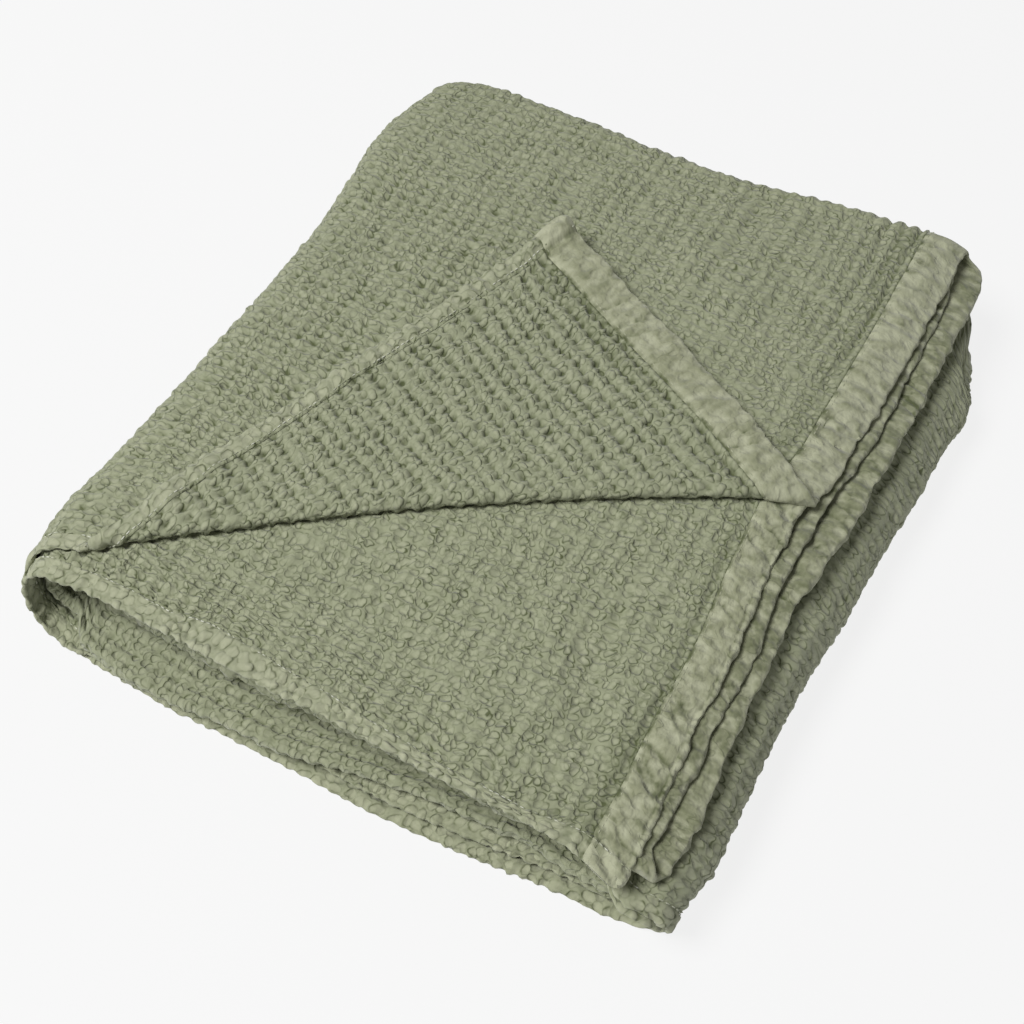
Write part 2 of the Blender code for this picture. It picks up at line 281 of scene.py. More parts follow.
def shifted(start, way, *pairs):
    """A course's pairs, with each place counted from a start, forwards (1) or backwards (-1)."""
    return tuple((start + way * place, far) for place, far in pairs)


# Courses: pairs of a place on the cloth, and what is so there. Between two places it changes evenly.

# How far out the outer bound end lies, at each t
END_OUT = (
    ((0.20, 0), (0.26, -0.0060), (0.30, -0.0075), (0.33, -0.0040), (0.36, -0.0042), (0.42, -0.0020), (0.47, 0))
    + ((BACK_FOLD, -0.0004), (BACK_FOLD_MIDDLE, 0.0040), (FOURTH_PLY - 0.006, 0.0160), (FOURTH_PLY, 0.0195))
    + shifted(FOURTH_PLY, 1, (0.03, 0.0195), (0.06, 0.0154), (0.12, 0.0132), (0.15, 0.0123), (0.18, 0.0095))
    + shifted(FOURTH_PLY, 1, (0.21, 0.0071), (0.27, 0.0043), (0.30, 0), (0.33, -0.0043), (0.42, -0.0053))
    + shifted(FOURTH_PLY, 1, (0.48, -0.0030))
    + shifted(FRONT_FOLD, 1, (0, -0.0050), (0.03, -0.0205), (0.12, -0.0172), (0.18, -0.0150), (0.24, -0.0200))
    + shifted(FRONT_FOLD, 1, (0.30, -0.0155), (0.36, -0.0081), (0.39, -0.0037), (0.48, -0.0015), (0.54, 0.0010))
    + ((INNER_BACK_FOLD, -0.0040), (SECOND_PLY + 0.01, -0.0080), (SECOND_PLY + 0.05, -0.0055))
    + shifted(LENGTH, -1, (0.37, -0.0085), (0.29, -0.0145), (0.26, -0.0145), (0.20, -0.0114), (0.17, -0.0085))
    + shifted(LENGTH, -1, (0.14, -0.0065), (0.11, -0.0075), (0.08, -0.0049), (0.05, -0.0020), (0.02, -0.0014))
    + shifted(LENGTH, -1, (0, -0.0010))
)
# How far its edge wavers, at each t
END_LOOSE = (
    ((0, 0.0008), (BACK_FOLD, 0.0008), (FOURTH_PLY, 0.0014), (FRONT_FOLD, 0.0016), (INNER_BACK_FOLD, 0.0014))
    + ((SECOND_PLY, 0.0010), (LENGTH, 0.0010))
)
# How much narrower the second ply's binding lies, at each distance from its hem
END_NARROW = ((0, 0.0020), (0.06, 0.0070), (0.10, 0.0075), (0.17, 0.0070), (0.22, 0.0030), (0.28, 0))
# How far each ply's bound end settles up or down the stack, at each t
END_RISE = (
    ((0.27, 0), (0.31, -0.0035), (BACK_FOLD - 0.02, -0.0045), (BACK_FOLD, -0.0035))
    + shifted(FOURTH_PLY, 1, (0, 0.0045), (0.05, 0.0065), (0.20, 0.0070))
    + shifted(FRONT_FOLD, 1, (-0.25, 0.0078), (-0.18, 0.0038), (-0.04, 0.0030), (0, 0), (0.05, 0.0012))
    + shifted(FRONT_FOLD, 1, (0.15, 0.0012), (0.20, 0.0020), (0.27, 0.0040), (0.33, 0.0048), (0.40, 0.0034))
    + ((INNER_BACK_FOLD - 0.06, 0.0026), (INNER_BACK_FOLD, 0.0030), (SECOND_PLY, 0.0006))
    + ((LENGTH - 0.29, -0.0004), (LENGTH, -0.0004))
)
# How far the front fold of the inner plies is tucked in, at each s
FOLD_TUCK = (
    ((0, 0.016), (0.03, 0.014), (0.08, 0.017), (0.20, 0.017), (0.26, 0.014), (0.30, 0.011), (0.36, 0.008))
    + ((0.40, 0.007), (0.44, 0.009), (BOTTOM - 0.02, 0.011), (BOTTOM + 0.026, 0.012), (BOTTOM + 0.042, -0.004))
    + ((0.634, -0.003), (0.684, -0.001), (0.734, 0.003), (0.784, 0.012), (0.834, 0.019), (0.884, 0.014))
    + ((RIGHT_FOLD - 0.02, 0.008), (MIDDLE, 0.016), (WIDTH - 0.10, 0.022), (WIDTH, 0.026))
)
# How far the second ply's hem is tucked in, at each s
HEM_TUCK = (
    ((0, 0.001), (0.04, 0.009), (0.07, 0.009), (0.13, 0.007), (0.19, 0.007), (0.22, 0.008), (0.25, 0.007))
    + ((0.28, 0.008), (0.31, 0.009), (0.34, 0.010), (0.37, 0.011), (0.40, 0.009), (0.43, 0.004), (0.46, 0))
)
# How far to the front the cloth at that hem's seam is drawn, at each s
HEM_DRAWN = (
    ((0.03, 0), (0.07, 0.007), (0.13, 0.006), (0.16, 0.0035), (0.19, 0.002), (0.22, -0.001), (0.25, -0.003))
    + ((0.28, -0.005), (0.31, -0.006), (0.34, 0))
)

FLAP_NORMAL = 1 / hypot(1 / FLAP_ALONG_HEM, 1 / FLAP_ALONG_END)
FLAP_S = FLAP_NORMAL / FLAP_ALONG_HEM
FLAP_T = FLAP_NORMAL / FLAP_ALONG_END
FLAP_CREASE = hypot(FLAP_ALONG_HEM, FLAP_ALONG_END)

CORNER_ROUNDING = 0.009
FLOOR_CONTACT = 0.0002
TIP_LUMP = 0.0065
TIP_LUMP_REACH = 0.030
TIP_BAR = Bump("stiff hem at the tip", 0.036, 0.0070, 0.020, 0.0078, 0.0060)
HEM_LUMPS = (
    Bump("lump where the hem meets the crease", 0.352, 0.008, 0.013, 0.017, 0.0045),
    Bump("lump before it", 0.318, 0.012, 0.010, 0.016, 0.0030),
)
HEM_LUMPINESS = 0.0014
HEM_WANDER = 0.0022

# The other edges
END_REACH = 0.080
TOP_PRESS = 0.022
FOURTH_PRESS = 0.036
LOWER_PRESS = 0.026
HEM_WAVER = 0.0016
FOLD_WAVER = 0.0040
TUCK_FADE = 0.075
MIDDLE_TUCK_FADE = 0.225
MIDDLE_TUCK = 0.040
LAST_TUCK = 0.006
UNDER_TOP_TUCK = 0.001
UNDER_SECOND_TUCK = 0.014

# Swells of the two upper plies
SWELL = 0.0010
SMALL_SWELL = 0.0006
FLAP_SINK = 0.0009
FLAP_SWELL = 0.0009
RISE_TO_CREASE = 0.0042

# Random values along each side of a noise's grid, before it repeats
RANDOMS = 64


def smooth_step(value):
    """0 up to 0, 1 from 1 on, and a soft step between."""
    clipped = np.clip(value, 0.0, 1.0)
    return clipped * clipped * (3 - 2 * clipped)


def bell(distance, width):
    """1 at no distance, dying away within the width."""
    return np.exp(-((distance / width) ** 2))


def on_course(course, place):
    """What a course's table says at each place."""
    return np.interp(place, *np.transpose(course))


def noise(u, v, seed):
    """Smooth noise from -1 to 1, with one random value at each whole step of u and v."""
    values = np.random.default_rng(seed).uniform(-1, 1, (RANDOMS, RANDOMS))
    u, v = np.broadcast_arrays(u, v)
    u0 = np.floor(u)
    v0 = np.floor(v)
    fu = smooth_step(u - u0)
    fv = smooth_step(v - v0)
    i = u0.astype(int) % RANDOMS
    j = v0.astype(int) % RANDOMS
    k = (i + 1) % RANDOMS
    m = (j + 1) % RANDOMS
    low = values[i, j] * (1 - fu) + values[k, j] * fu
    high = values[i, m] * (1 - fu) + values[k, m] * fu
    return low * (1 - fv) + high * fv


def waver(u, seed):
    """Smooth noise along a line, from -1 to 1."""
    return noise(u, 0.5, seed)


def chance(u, v, seed):
    """One random number from 0 to 1 for each whole cell of u and v."""
    values = np.random.default_rng(seed).uniform(0, 1, (RANDOMS, RANDOMS))
    return values[np.floor(u).astype(int) % RANDOMS, np.floor(v).astype(int) % RANDOMS]


def hem_dragged(s, t):
    """The top ply's hem, pulled back more and more up to the place where the crease meets it."""
    rise = np.clip(s / HEM_PULL_AT, 0, 1)
    fall = 1 - smooth_step((s - HEM_PULL_AT) / HEM_PULL_FADE)
    fade = 1 - smooth_step(t / FLAP_ALONG_END)
    wander = waver(s / 0.034, 46) * smooth_step((s - 0.03) / 0.04) * fall * (1 - smooth_step(t / 0.06))
    return t + HEM_PULL * rise * fall * fade + HEM_WANDER * wander


def past_line(s, t):
    """How far past the straight line of the turned-back corner each point lies."""
    return FLAP_NORMAL - (s * FLAP_S + t * FLAP_T)


def beyond_crease(s, t):
    """How far past the turned-back corner's crease each point of the top ply lies."""
    return past_line(s, hem_dragged(s, t))


def along_crease(s, t):
    """How far along that crease each point lies, from 0 to 1."""
    return np.clip((s * FLAP_T - t * FLAP_S + FLAP_ALONG_END * FLAP_S) / FLAP_CREASE, 0, 1)


def crease_bow(along):
    """How far the crease bows out of its line, most at its middle."""
    return 4 * FLAP_BOW * along * (1 - along)


def turned_back(s, t, h):
    """Rolls the top ply's corner over the crease, and lays it on the ply."""
    from_tip = np.hypot(s, t)
    t_own = t
    t = hem_dragged(s, t)
    beyond = past_line(s, t)
    along = along_crease(s, t)
    angle = np.clip(beyond / FLAP_ROLL, 0, pi)
    past = np.maximum(beyond - pi * FLAP_ROLL, 0) * FLAP_EASE
    rolled = np.minimum(beyond, 0) + (FLAP_ROLL - h) * np.sin(angle) - past
    lifted = FLAP_ROLL - (FLAP_ROLL - h) * np.cos(angle)
    tip = smooth_step((beyond - FLAP_NORMAL + TIP_REACH) / TIP_REACH)
    lifted += TIP_LIFT * tip + TIP_LUMP * bell(from_tip, TIP_LUMP_REACH)
    bar = TIP_BAR.rise * bell(t_own - TIP_BAR.t, TIP_BAR.reach_t)
    lifted += bar * (1 - smooth_step((s - TIP_BAR.s) / TIP_BAR.reach_s))
    lumps = HEM_LUMPINESS * waver(s / 0.019, 47) * bell(t_own, 0.020) * smooth_step((s - 0.05) / 0.03)
    for lump in HEM_LUMPS:
        lumps = lumps + lump.rise * bell(s - lump.s, lump.reach_s) * bell(t_own - lump.t, lump.reach_t)
    lifted += lumps * smooth_step(beyond / 0.02)
    bow = crease_bow(along) * smooth_step(1 + beyond / FLAP_BOW_FADE)
    top_ply = t < DEPTH - OUTER_PLY
    shift = np.where(top_ply, beyond - rolled + bow, 0)
    lean = np.where(top_ply, past * FLAP_LEAN, 0)
    return s + shift * FLAP_S - lean * FLAP_T, t + shift * FLAP_T + lean * FLAP_S, lifted


def corner_rounded(s, t):
    """Rounds the blanket's four corners, each within its own square."""
    in_s = np.maximum(CORNER_ROUNDING - np.minimum(s, WIDTH - s), 0)
    in_t = np.maximum(CORNER_ROUNDING - np.minimum(t, LENGTH - t), 0)
    reach = np.maximum(np.hypot(in_s, in_t), 1e-9)
    squeeze = 1 - np.where(in_s + in_t > 0, np.maximum(in_s, in_t) / reach, 1)
    s = s + in_s * squeeze * np.where(s < WIDTH / 2, 1, -1)
    t = t + in_t * squeeze * np.where(t < LENGTH / 2, 1, -1)
    return s, t


def end_waved(s, t):
    """The outer bound end's wandering edge, loosest on the two plies between the hems."""
    wave = 0.7 * noise(t / 0.055, 0.3, 41) + 0.3 * noise(t / 0.021, 0.7, 42)
    narrow = on_course(END_NARROW, LENGTH - t)
    out = on_course(END_OUT, t) + narrow
    slack = np.maximum(1 - np.maximum(s, 0) / (BINDING_WIDTH + 0.004), 0)
    return s + (1 - smooth_step(s / END_REACH)) * (on_course(END_LOOSE, t) * wave - out) + narrow * slack


def end_pressed(s, t):
    """How far each ply's bound end settles towards the next one, up or down the stack."""
    reach = np.where(t < BACK_FOLD, TOP_PRESS, np.where(t < FRONT_FOLD, FOURTH_PRESS, LOWER_PRESS))
    return on_course(END_RISE, t) * (1 - smooth_step(s / reach))


def front_eased(s, t, y):
    """Tucks in the hems and the front fold, each by its own course, and lets them waver."""
    inner = (t > BACK_FOLD) & (t < SECOND_PLY)
    second = t > LENGTH / 2
    wander = 0.7 * noise(s / 0.060, 0.2, 43) + 0.3 * noise(s / 0.023, 0.6, 44)
    fold_tuck = on_course(FOLD_TUCK, s) + FOLD_WAVER * wander
    hem_tuck = LAST_TUCK * smooth_step((s - WIDTH + 0.10) / 0.09) + MIDDLE_TUCK * smooth_step((s - MIDDLE) / 0.05)
    hem_tuck = hem_tuck + HEM_WAVER * noise(s / 0.045, 0.4, 45) * smooth_step((s - 0.02) / 0.04)
    under = smooth_step((s - BOTTOM) / 0.05) * (1 - smooth_step((s - RIGHT_FOLD) / 0.05))
    hem_tuck = hem_tuck + under * np.where(second, UNDER_SECOND_TUCK, UNDER_TOP_TUCK)
    hem_tuck = hem_tuck + np.where(second, on_course(HEM_TUCK, s), 0)
    from_hem = LENGTH - t
    at_seam = smooth_step(from_hem / HEM_WIDTH) * (1 - smooth_step((from_hem - HEM_WIDTH) / 0.050))
    drawn = np.where(second & ~inner, on_course(HEM_DRAWN, s) * at_seam, 0)
    middle = np.where(inner, 0, smooth_step((s - MIDDLE + 0.03) / 0.05))
    reach = TUCK_FADE + MIDDLE_TUCK_FADE * middle
    return y + np.where(inner, fold_tuck, hem_tuck) * (1 - smooth_step(y / reach)) - drawn


def creased(rows, s, t):
    """How far a table's creases raise each point: each wavers a little and dies away at its ends."""
    raised = 0 * s * t
    for order, row in enumerate(rows):
        turn = radians(row.turn)
        along = (s - row.s) * cos(turn) + (t - row.t) * sin(turn)
        across = (t - row.t) * cos(turn) - (s - row.s) * sin(turn)
        across = across + 0.5 * row.width * waver(along / 0.030, 80 + order)
        dies = 1 - smooth_step((abs(along) - 0.25 * row.length) / (0.25 * row.length))
        raised = raised + row.rise * bell(across, row.width) * dies
    return raised


def swells(s, t, seed):
    """Broad soft swells and hollows of a ply."""
    broad = noise(s / 0.075, t / 0.110, seed)
    return SWELL * broad + SMALL_SWELL * noise(s / 0.030, t / 0.046, seed + 1)


def rise_to_crease(s, t):
    """How far the second ply rises to meet the fold of the corner that is turned back over it."""
    beyond = past_line(s, t) + crease_bow(along_crease(s, t))
    return RISE_TO_CREASE * bell(beyond, np.where(beyond > 0, 0.050, 0.070))


def settled(s, t, h):
    """Adds the swells and creases of the two plies that show on top."""
    upper = 1 - smooth_step((s - LEFT_WRAP - 0.02) / 0.04)
    on_top = upper * (1 - smooth_step((t - BACK_FOLD + 0.010) / 0.03))
    on_second = upper * smooth_step((t - SECOND_PLY - 0.01) / 0.03)
    turned = smooth_step(beyond_crease(s, t) / 0.02)
    top = (swells(s, t, 61) + creased(TOP_CREASES, s, t)) * (1 - turned)
    top = top - turned * (FLAP_SINK + FLAP_SWELL * noise(s / 0.050, t / 0.050, 65))
    from_hem = LENGTH - t
    second = swells(s, from_hem, 71) + creased(SECOND_CREASES, s, from_hem)
    second = second + rise_to_crease(s, from_hem)
    return h + on_top * top - on_second * second


def pushed(points):
    """The stack's softness: each push fades out round its centre, and none lifts the underside."""
    moved = points.copy()
    for push in PUSHES:
        away = (points[:, 0] - push.x) ** 2 + (points[:, 1] - push.y) ** 2
        weight = np.exp(-away / push.reach**2 - ((points[:, 2] - push.z) / push.reach_z) ** 2)
        moved[:, 0] += weight * push.by_x
        moved[:, 1] += weight * push.by_y
        moved[:, 2] += weight * push.by_z * points[:, 2] / STACK_HEIGHT
    return moved


def folded(s, t, h):
    """Carries points from cloth coordinates to the folded stack."""
    h = settled(s, t, h)
    s, t = corner_rounded(s, t)
    pressed = end_pressed(s, t)
    s = end_waved(s, t)
    s, t, h = turned_back(s, t, h)
    y, level, ply_heading = PLIES.at(t)
    y = front_eased(s, t, y - h * np.sin(ply_heading))
    level = level + h * np.cos(ply_heading) + pressed
    x, z, panel_heading = PANELS.at(s + PLIES.slide_at(t))
    x = x + level * np.sin(panel_heading)
    z = z - level * np.cos(panel_heading)
    points = pushed(np.column_stack((x.ravel(), y.ravel(), z.ravel())))
    points[:, 0] -= FOOTPRINT_X
    points[:, 1] -= FOOTPRINT_Y
    points[:, 2] = np.maximum(points[:, 2], FLOOR_CONTACT)
    return points


# Relief

CELL_WIDTH = 0.0120
CELL_LENGTH = 0.0087
PUFF_HEIGHT = 0.0023
PIP_HEIGHT = 0.0013
TROUGH_DEPTH = 0.0024
PIT_DEPTH = 0.0024
BETWEEN_HEIGHT = 0.0009
CRINKLE = 0.00055
FINE_CRINKLE = 0.00040
HEM_STITCH = 0.0138
HEM_BUBBLE = 0.0024
HEM_PAD = 0.0011
HEM_PINCH = 0.0008
HEM_EDGE_HALF = 0.0017
RIB_BEAD = 0.0085
RIB_WANDER = 0.0011
RIB_WIDTH = 0.0021

Rib = namedtuple("Rib", "from_seam height")

END_RIBS = (Rib(0.0032, 0.0014), Rib(0.0092, 0.0012), Rib(0.0156, 0.0009))

Zones = namedtuple("Zones", "puffs pips pits troughs")


def weave_place(s, t):
    """Where each point lies in the waffle, counted in cells, with the rows' own wandering."""
    u = s / CELL_WIDTH + 0.45 * noise(s / 0.10, t / 0.13, 11) + 0.16 * noise(s / 0.019, t / 0.022, 12)
    v = t / CELL_LENGTH + 0.50 * noise(s / 0.13, t / 0.10, 13) + 0.20 * noise(s / 0.022, t / 0.017, 14)
    return u + 0.07 * noise(s / 0.008, t / 0.009, 15), v + 0.09 * noise(s / 0.009, t / 0.008, 16)


def in_cell(place):
    """Each point's place in its own cell, from -0.5 to 0.5."""
    return place - np.floor(place) - 0.5


def waffle(u, v, zones):
    """The cloth's relief: a soft puff in each cell, a pip on it, pits at the corners, and troughs between rows."""
    across = in_cell(u)
    along = in_cell(v)
    size = 0.55 + 0.9 * chance(u, v, 22)
    pit_depth = 0.50 + 0.9 * chance(u + 0.5, v + 0.5, 23)
    strand = noise(np.floor(u + 0.5), v / 5.0, 24)
    puff = np.sqrt(np.clip(1 - (across / 0.52) ** 2 - (along / 0.54) ** 2, 0, 1))
    reach = np.hypot(across / 0.27, along / 0.36)
    pip = 1 - smooth_step((reach - 0.45) / 0.8)
    trough = bell(0.5 - abs(across), 0.15)
    pit = bell(0.5 - abs(across), 0.20) * bell(0.5 - abs(along), 0.29)
    between = bell(0.5 - abs(across), 0.17) * bell(along, 0.26) * (0.3 + 1.2 * chance(u + 0.5, v, 28))
    height = PUFF_HEIGHT * zones.puffs * (size * puff - 0.5)
    height = height + CRINKLE * noise(u / 0.46, v / 0.50, 25) + FINE_CRINKLE * noise(u / 0.29, v / 0.36, 26)
    height = height + PIP_HEIGHT * zones.pips * pip + BETWEEN_HEIGHT * between
    height = height - TROUGH_DEPTH * zones.troughs * trough * (0.75 + 0.6 * strand)
    return height - PIT_DEPTH * zones.pits * pit_depth * pit


def end_ribs(s, t):
    """Wavy beaded ribs of cloth beside the outer bound end's seam."""
    raised = 0 * s * t
    for order, rib in enumerate(END_RIBS):
        wander = RIB_WANDER * waver(t / 0.018, 101 + order)
        turn = 2 * pi * (t / RIB_BEAD + 0.5 * order) + 2.0 * waver(t / 0.025, 111 + order)
        bead = 0.65 + 0.35 * np.cos(turn)
        fades = smooth_step(0.75 + 1.2 * waver(t / 0.060, 121 + order))
        raised = raised + rib.height * bell(s - BINDING_WIDTH - rib.from_seam + wander, RIB_WIDTH) * bead * fades
    return raised


def zones_at(s, t):
    """How strong the puffs, pips, pits and troughs are, in that order, at each place of the cloth."""
    turned = smooth_step(beyond_crease(s, t) / 0.03)
    deep = smooth_step(beyond_crease(s, t) / 0.14)
    near_end = 1 - smooth_step((s - BINDING_WIDTH) / 0.070)
    leftwards = smooth_step((s - 0.19) / 0.13)
    far = smooth_step((t - 0.38) / 0.10)
    front = 1 - smooth_step((t - 0.03) / 0.10)
    beside_end = 1 - smooth_step((s - BINDING_WIDTH - 0.01) / 0.050)
    top = (
        0.48 + 0.15 * leftwards - 0.10 * near_end,
        0.60 - 0.35 * leftwards - 0.25 * beside_end,
        0.20 + 0.60 * leftwards * (1 - 0.6 * far) * (1 - 0.4 * front) + 0.10 * far,
        0.14 + beside_end * (0.25 + 0.65 * far) + 0.16 * far - 0.10 * leftwards,
    )
    flap = (0.72 + 0 * s, 0.25 + 0 * s, 0.60 + 0.30 * deep, 0.12 + 0.40 * beside_end)
    from_hem = LENGTH - t
    lower = 1 - smooth_step((from_hem - 0.02) / 0.05)
    second = (
        0.40 + 0.25 * lower + 0.25 * smooth_step((s - 0.28) / 0.12),
        0.95 - 0.3 * near_end,
        0.16 + 0.20 * lower + 0.25 * smooth_step((s - 0.28) / 0.12),
        0.05 + 0.35 * beside_end,
    )
    plain = (0.62, 0.45, 0.32, 0.12)
    is_top = 1 - smooth_step((t - BACK_FOLD) / 0.02)
    is_second = smooth_step((t - SECOND_PLY) / 0.02)
    upper = 1 - smooth_step((s - BOTTOM + 0.02) / 0.04)
    mixed = []
    for on_top, on_flap, on_second, elsewhere in zip(top, flap, second, plain):
        shown = is_top * (on_top * (1 - turned) + on_flap * turned) + is_second * on_second
        rest = 1 - upper * (is_top + is_second)
        mixed.append(shown * upper + rest * elsewhere)
    return Zones(*mixed)


# Cross sections of a hem and of a binding


def hem_under(distance):
    """Height of a side hem's turned-under layer at each distance from its edge."""
    lip = smooth_step((HEM_WIDTH - distance) / 0.0016)
    return -(0.0003 + 0.0014 * lip - 0.0009 * bell(distance - HEM_STITCH, 0.0010))


def hem_over(distance):
    """Height of the cloth's own face near a side hem, where the hem pads it out and its stitches pinch it."""
    padded = HEM_PAD * (1 - smooth_step((distance - 0.011) / 0.006))
    return padded - HEM_PINCH * bell(distance - HEM_STITCH, 0.0011)


def hem_bubbles(u, distance, seed):
    """Flattened bubbles of the doubled cloth between a hem's stitches and its edge: one row of large ones."""
    across = in_cell(1.15 * u)
    rise = (distance - 0.0066) / 0.0075
    dome = np.sqrt(np.clip(1 - (across / 0.52) ** 2 - rise**2, 0, 1))
    size = 0.35 + 0.95 * chance(1.15 * u, 0 * u, seed)
    crinkle = 0.0004 * noise(u / 0.33, distance / 0.0036, seed + 1)
    return HEM_BUBBLE * (size * dome - 0.45) + crinkle


def hem_rows(step):
    """A side hem's turned-under layer and rounded edge: distance from the edge and height of each row."""
    inner = np.concatenate(([HEM_WIDTH + 0.0002, HEM_WIDTH - 0.0007], np.arange(HEM_WIDTH - 0.0016, 0.0018, -step)))
    turn = np.radians(np.linspace(-75, 75, 5))
    edge = HEM_EDGE_HALF * (1 - np.cos(turn))
    edge_height = -0.0002 + 0.0015 * np.sin(turn)
    return np.append(inner, edge), np.append(hem_under(inner), edge_height)


def stations(start, *legs):
    """Distances of the grid lines from a start over a run of legs, each given by its end and its step."""
    marks = [start]
    for end, step in legs:
        count = max(1, round(abs(end - start) / step))
        marks += list(np.linspace(start, end, count + 1)[1:])
        start = end
    return np.array(marks)


def fineness(marks):
    """1 where the grid is fine enough to carry the waffle, and 0 where it is too coarse."""
    steps = np.gradient(marks)
    return np.clip((0.0040 - abs(steps)) / 0.0012, 0, 1)


def section_normals(along, height):
    """Outward directions of a cross section whose face is on its left."""
    d_along = np.gradient(along)
    d_height = np.gradient(height)
    length = np.hypot(d_along, d_height)
    return -d_height / length, d_along / length


def mesh_of(shape, name):
    """Turns a finished bmesh into a mesh."""
    mesh = bpy.data.meshes.new(name)
    shape.to_mesh(mesh)
    shape.free()
    return mesh


def points_of(mesh):
    """A mesh's points, one row each."""
    flat = np.empty(len(mesh.vertices) * 3, np.float32)
    mesh.vertices.foreach_get("co", flat)
    return flat.reshape(-1, 3)


def grid_mesh(name, columns, rows):
    """A flat grid with that many columns and rows of points, and each point's column and row."""
    shape = bmesh.new()
    bmesh.ops.create_grid(shape, x_segments=columns - 1, y_segments=rows - 1, size=0.5)
    mesh = mesh_of(shape, name)
    points = points_of(mesh)
    column = np.rint((points[:, 0] + 0.5) * (columns - 1)).astype(int)
    row = np.rint((points[:, 1] + 0.5) * (rows - 1)).astype(int)
    return mesh, column, row


def place_points(mesh, points):
    """Moves a mesh's points there."""
    mesh.vertices.foreach_set("co", points.astype(np.float32).ravel())
    mesh.update()


def add_weave_map(mesh, u, v):
    """Stores the cloth's own coordinates, in cells, for the materials to follow."""
    corners = np.empty(len(mesh.loops), np.int32)
    mesh.loops.foreach_get("vertex_index", corners)
    layer = mesh.uv_layers.new(name="weave")
    layer.uv.foreach_set("vector", np.column_stack((u[corners], v[corners])).astype(np.float32).ravel())


def add_zone_map(mesh, first, second, third, fourth):
    """Stores four strengths at each point, for the materials to follow."""
    layer = mesh.color_attributes.new("zones", "FLOAT_COLOR", "POINT")
    values = np.column_stack(np.broadcast_arrays(first, second, third, fourth))
    layer.data.foreach_set("color", values.astype(np.float32).ravel())


def add_object(name, data):
    """Puts a mesh, a lamp or a camera in the scene."""
    made = bpy.data.objects.new(name, data)
    bpy.context.scene.collection.objects.link(made)
    return made


def add_piece(name, mesh, finish, nodes):
    """Makes a finished mesh a piece of the blanket, in place of the model's nodes that it stands for."""
    mesh.shade_smooth()
    mesh.materials.append(finish)
    piece = add_object(name, mesh)
    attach(piece, "root")
    if nodes:
        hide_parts(*nodes)
    return piece


def cloth_relief(s, t, u, v, zones, distance, hem):
    """The cloth's whole relief: its waffle, the bubbles along its hems and the ribs beside its bound end."""
    quiet = 1 - 0.7 * bell(distance - HEM_STITCH, 0.0020)
    relief = waffle(u, v, zones) * (1 - 0.75 * hem) * quiet + hem_bubbles(u, distance, 29) * hem
    return relief + end_ribs(s, t) * (1 - hem)


def between_bindings(s):
    """1 on the open cloth, and 0 where it goes into a binding."""
    open_cloth = smooth_step((s - BINDING_WIDTH + 0.001) / 0.003)
    return open_cloth * smooth_step((WIDTH - BINDING_WIDTH + 0.001 - s) / 0.003)


def cloth_zones(s, t, u, v, zones, distance, hem, relief):
    """How strongly each point shows a pip, a pit and the hem, and how much shade is painted on it by how deep it lies
    in a seam or a hollow.
    """
    pips = zones.pips * (0.15 + 1.15 * chance(u, v, 27)) * (1 - 0.7 * hem)
    pits = zones.pits * (0.35 + 1.0 * chance(u + 0.5, v + 0.5, 23)) * (1 - hem)
    # Painted shade in the gullies between the ribs beside the bound end, along that end's seam, at the hem's edge and
    # in the relief's hollows
    gully = smooth_step(1 - end_ribs(s, t) / 0.0006) * (1 - smooth_step((s - BINDING_WIDTH - 0.015) / 0.004))
    seam = bell(s - BINDING_WIDTH - 0.0002, 0.0010) + 0.40 * gully + 0.15 * bell(distance - HEM_WIDTH, 0.0009)
    hollow = smooth_step((-0.0002 - relief) / 0.0026)
    return pips, pits, hem, seam + 0.55 * hollow


def lay_cloth(name, columns, along, height, side_of, from_hem):
    """Lays a patch of waffle cloth: one grid line per column of s and per row of the section."""
    mesh, column, row = grid_mesh(name, len(columns), len(along))
    normal_t, normal_h = section_normals(along, height)
    s = columns[column]
    t = along[row]
    # Rows on the turned-under layer and its edge face outwards by themselves.
    own_side = (normal_h[row] < 0.9) | (height[row] < -0.00025)
    side = np.where(own_side, 1.0, side_of(s, t))
    fine = fineness(columns)[column] * fineness(along)[row]
    distance = from_hem(t)
    hem = 1 - smooth_step((distance - HEM_STITCH + 0.0010) / 0.0020)
    zones = zones_at(s, t)
    u, v = weave_place(s, t)
    relief = cloth_relief(s, t, u, v, zones, distance, hem) * fine * between_bindings(s)
    h = height[row] + side * relief * normal_h[row]
    place_points(mesh, folded(s, t + side * relief * normal_t[row], h))
    add_weave_map(mesh, u, v)
    add_zone_map(mesh, *cloth_zones(s, t, u, v, zones, distance, hem, relief))
    piece = add_piece(name, mesh, bpy.data.materials["sage waffle cotton"], ["blanket_cloth"])


# Bindings

BINDING_HALF = 0.0022
BROAD_PUCKER = 0.0013
PUCKER = 0.0010
FINE_PUCKER = 0.00015
SHARP_CREASE = 0.0019
BINDING_CROWN = 0.0004
CORNER_BLOCK = 0.0140
TOP_BLOCK_SWELL = 0.0034
SECOND_BLOCK_SWELL = 0.0018
CROSS_SEAM = 0.0013
CLOSED_END = 0.003
OTHER_FACE_SHIFT = 0.37
BINDING_STITCH = 0.0290
PEARL_LINE = 0.0048
PEARL_PITCH = 0.0058
END_STEP = 0.0006

# A strip's edge lies at one s, and inwards (1 or -1) is the way from there to its seam.
Strip = namedtuple("Strip", "name node sewn_on across_step along_step edge inwards seed")

BINDINGS = (
    Strip("outer_binding", "outer_end_binding", "top_ply", 0.0012, 0.0016, 0.0, 1, 31),
    Strip("inner_binding", "inner_end_binding", "middle_top_back", 0.0020, 0.0060, WIDTH, -1, 51),
)


def binding_face(distance):
    """Half thickness of a binding at each distance from the blanket's end."""
    seam = np.exp(-np.maximum(BINDING_WIDTH - distance, 0) / 0.0010)
    return BINDING_HALF * (1 - 0.60 * seam) - 0.0007 * bell(distance - BINDING_STITCH, 0.0010)


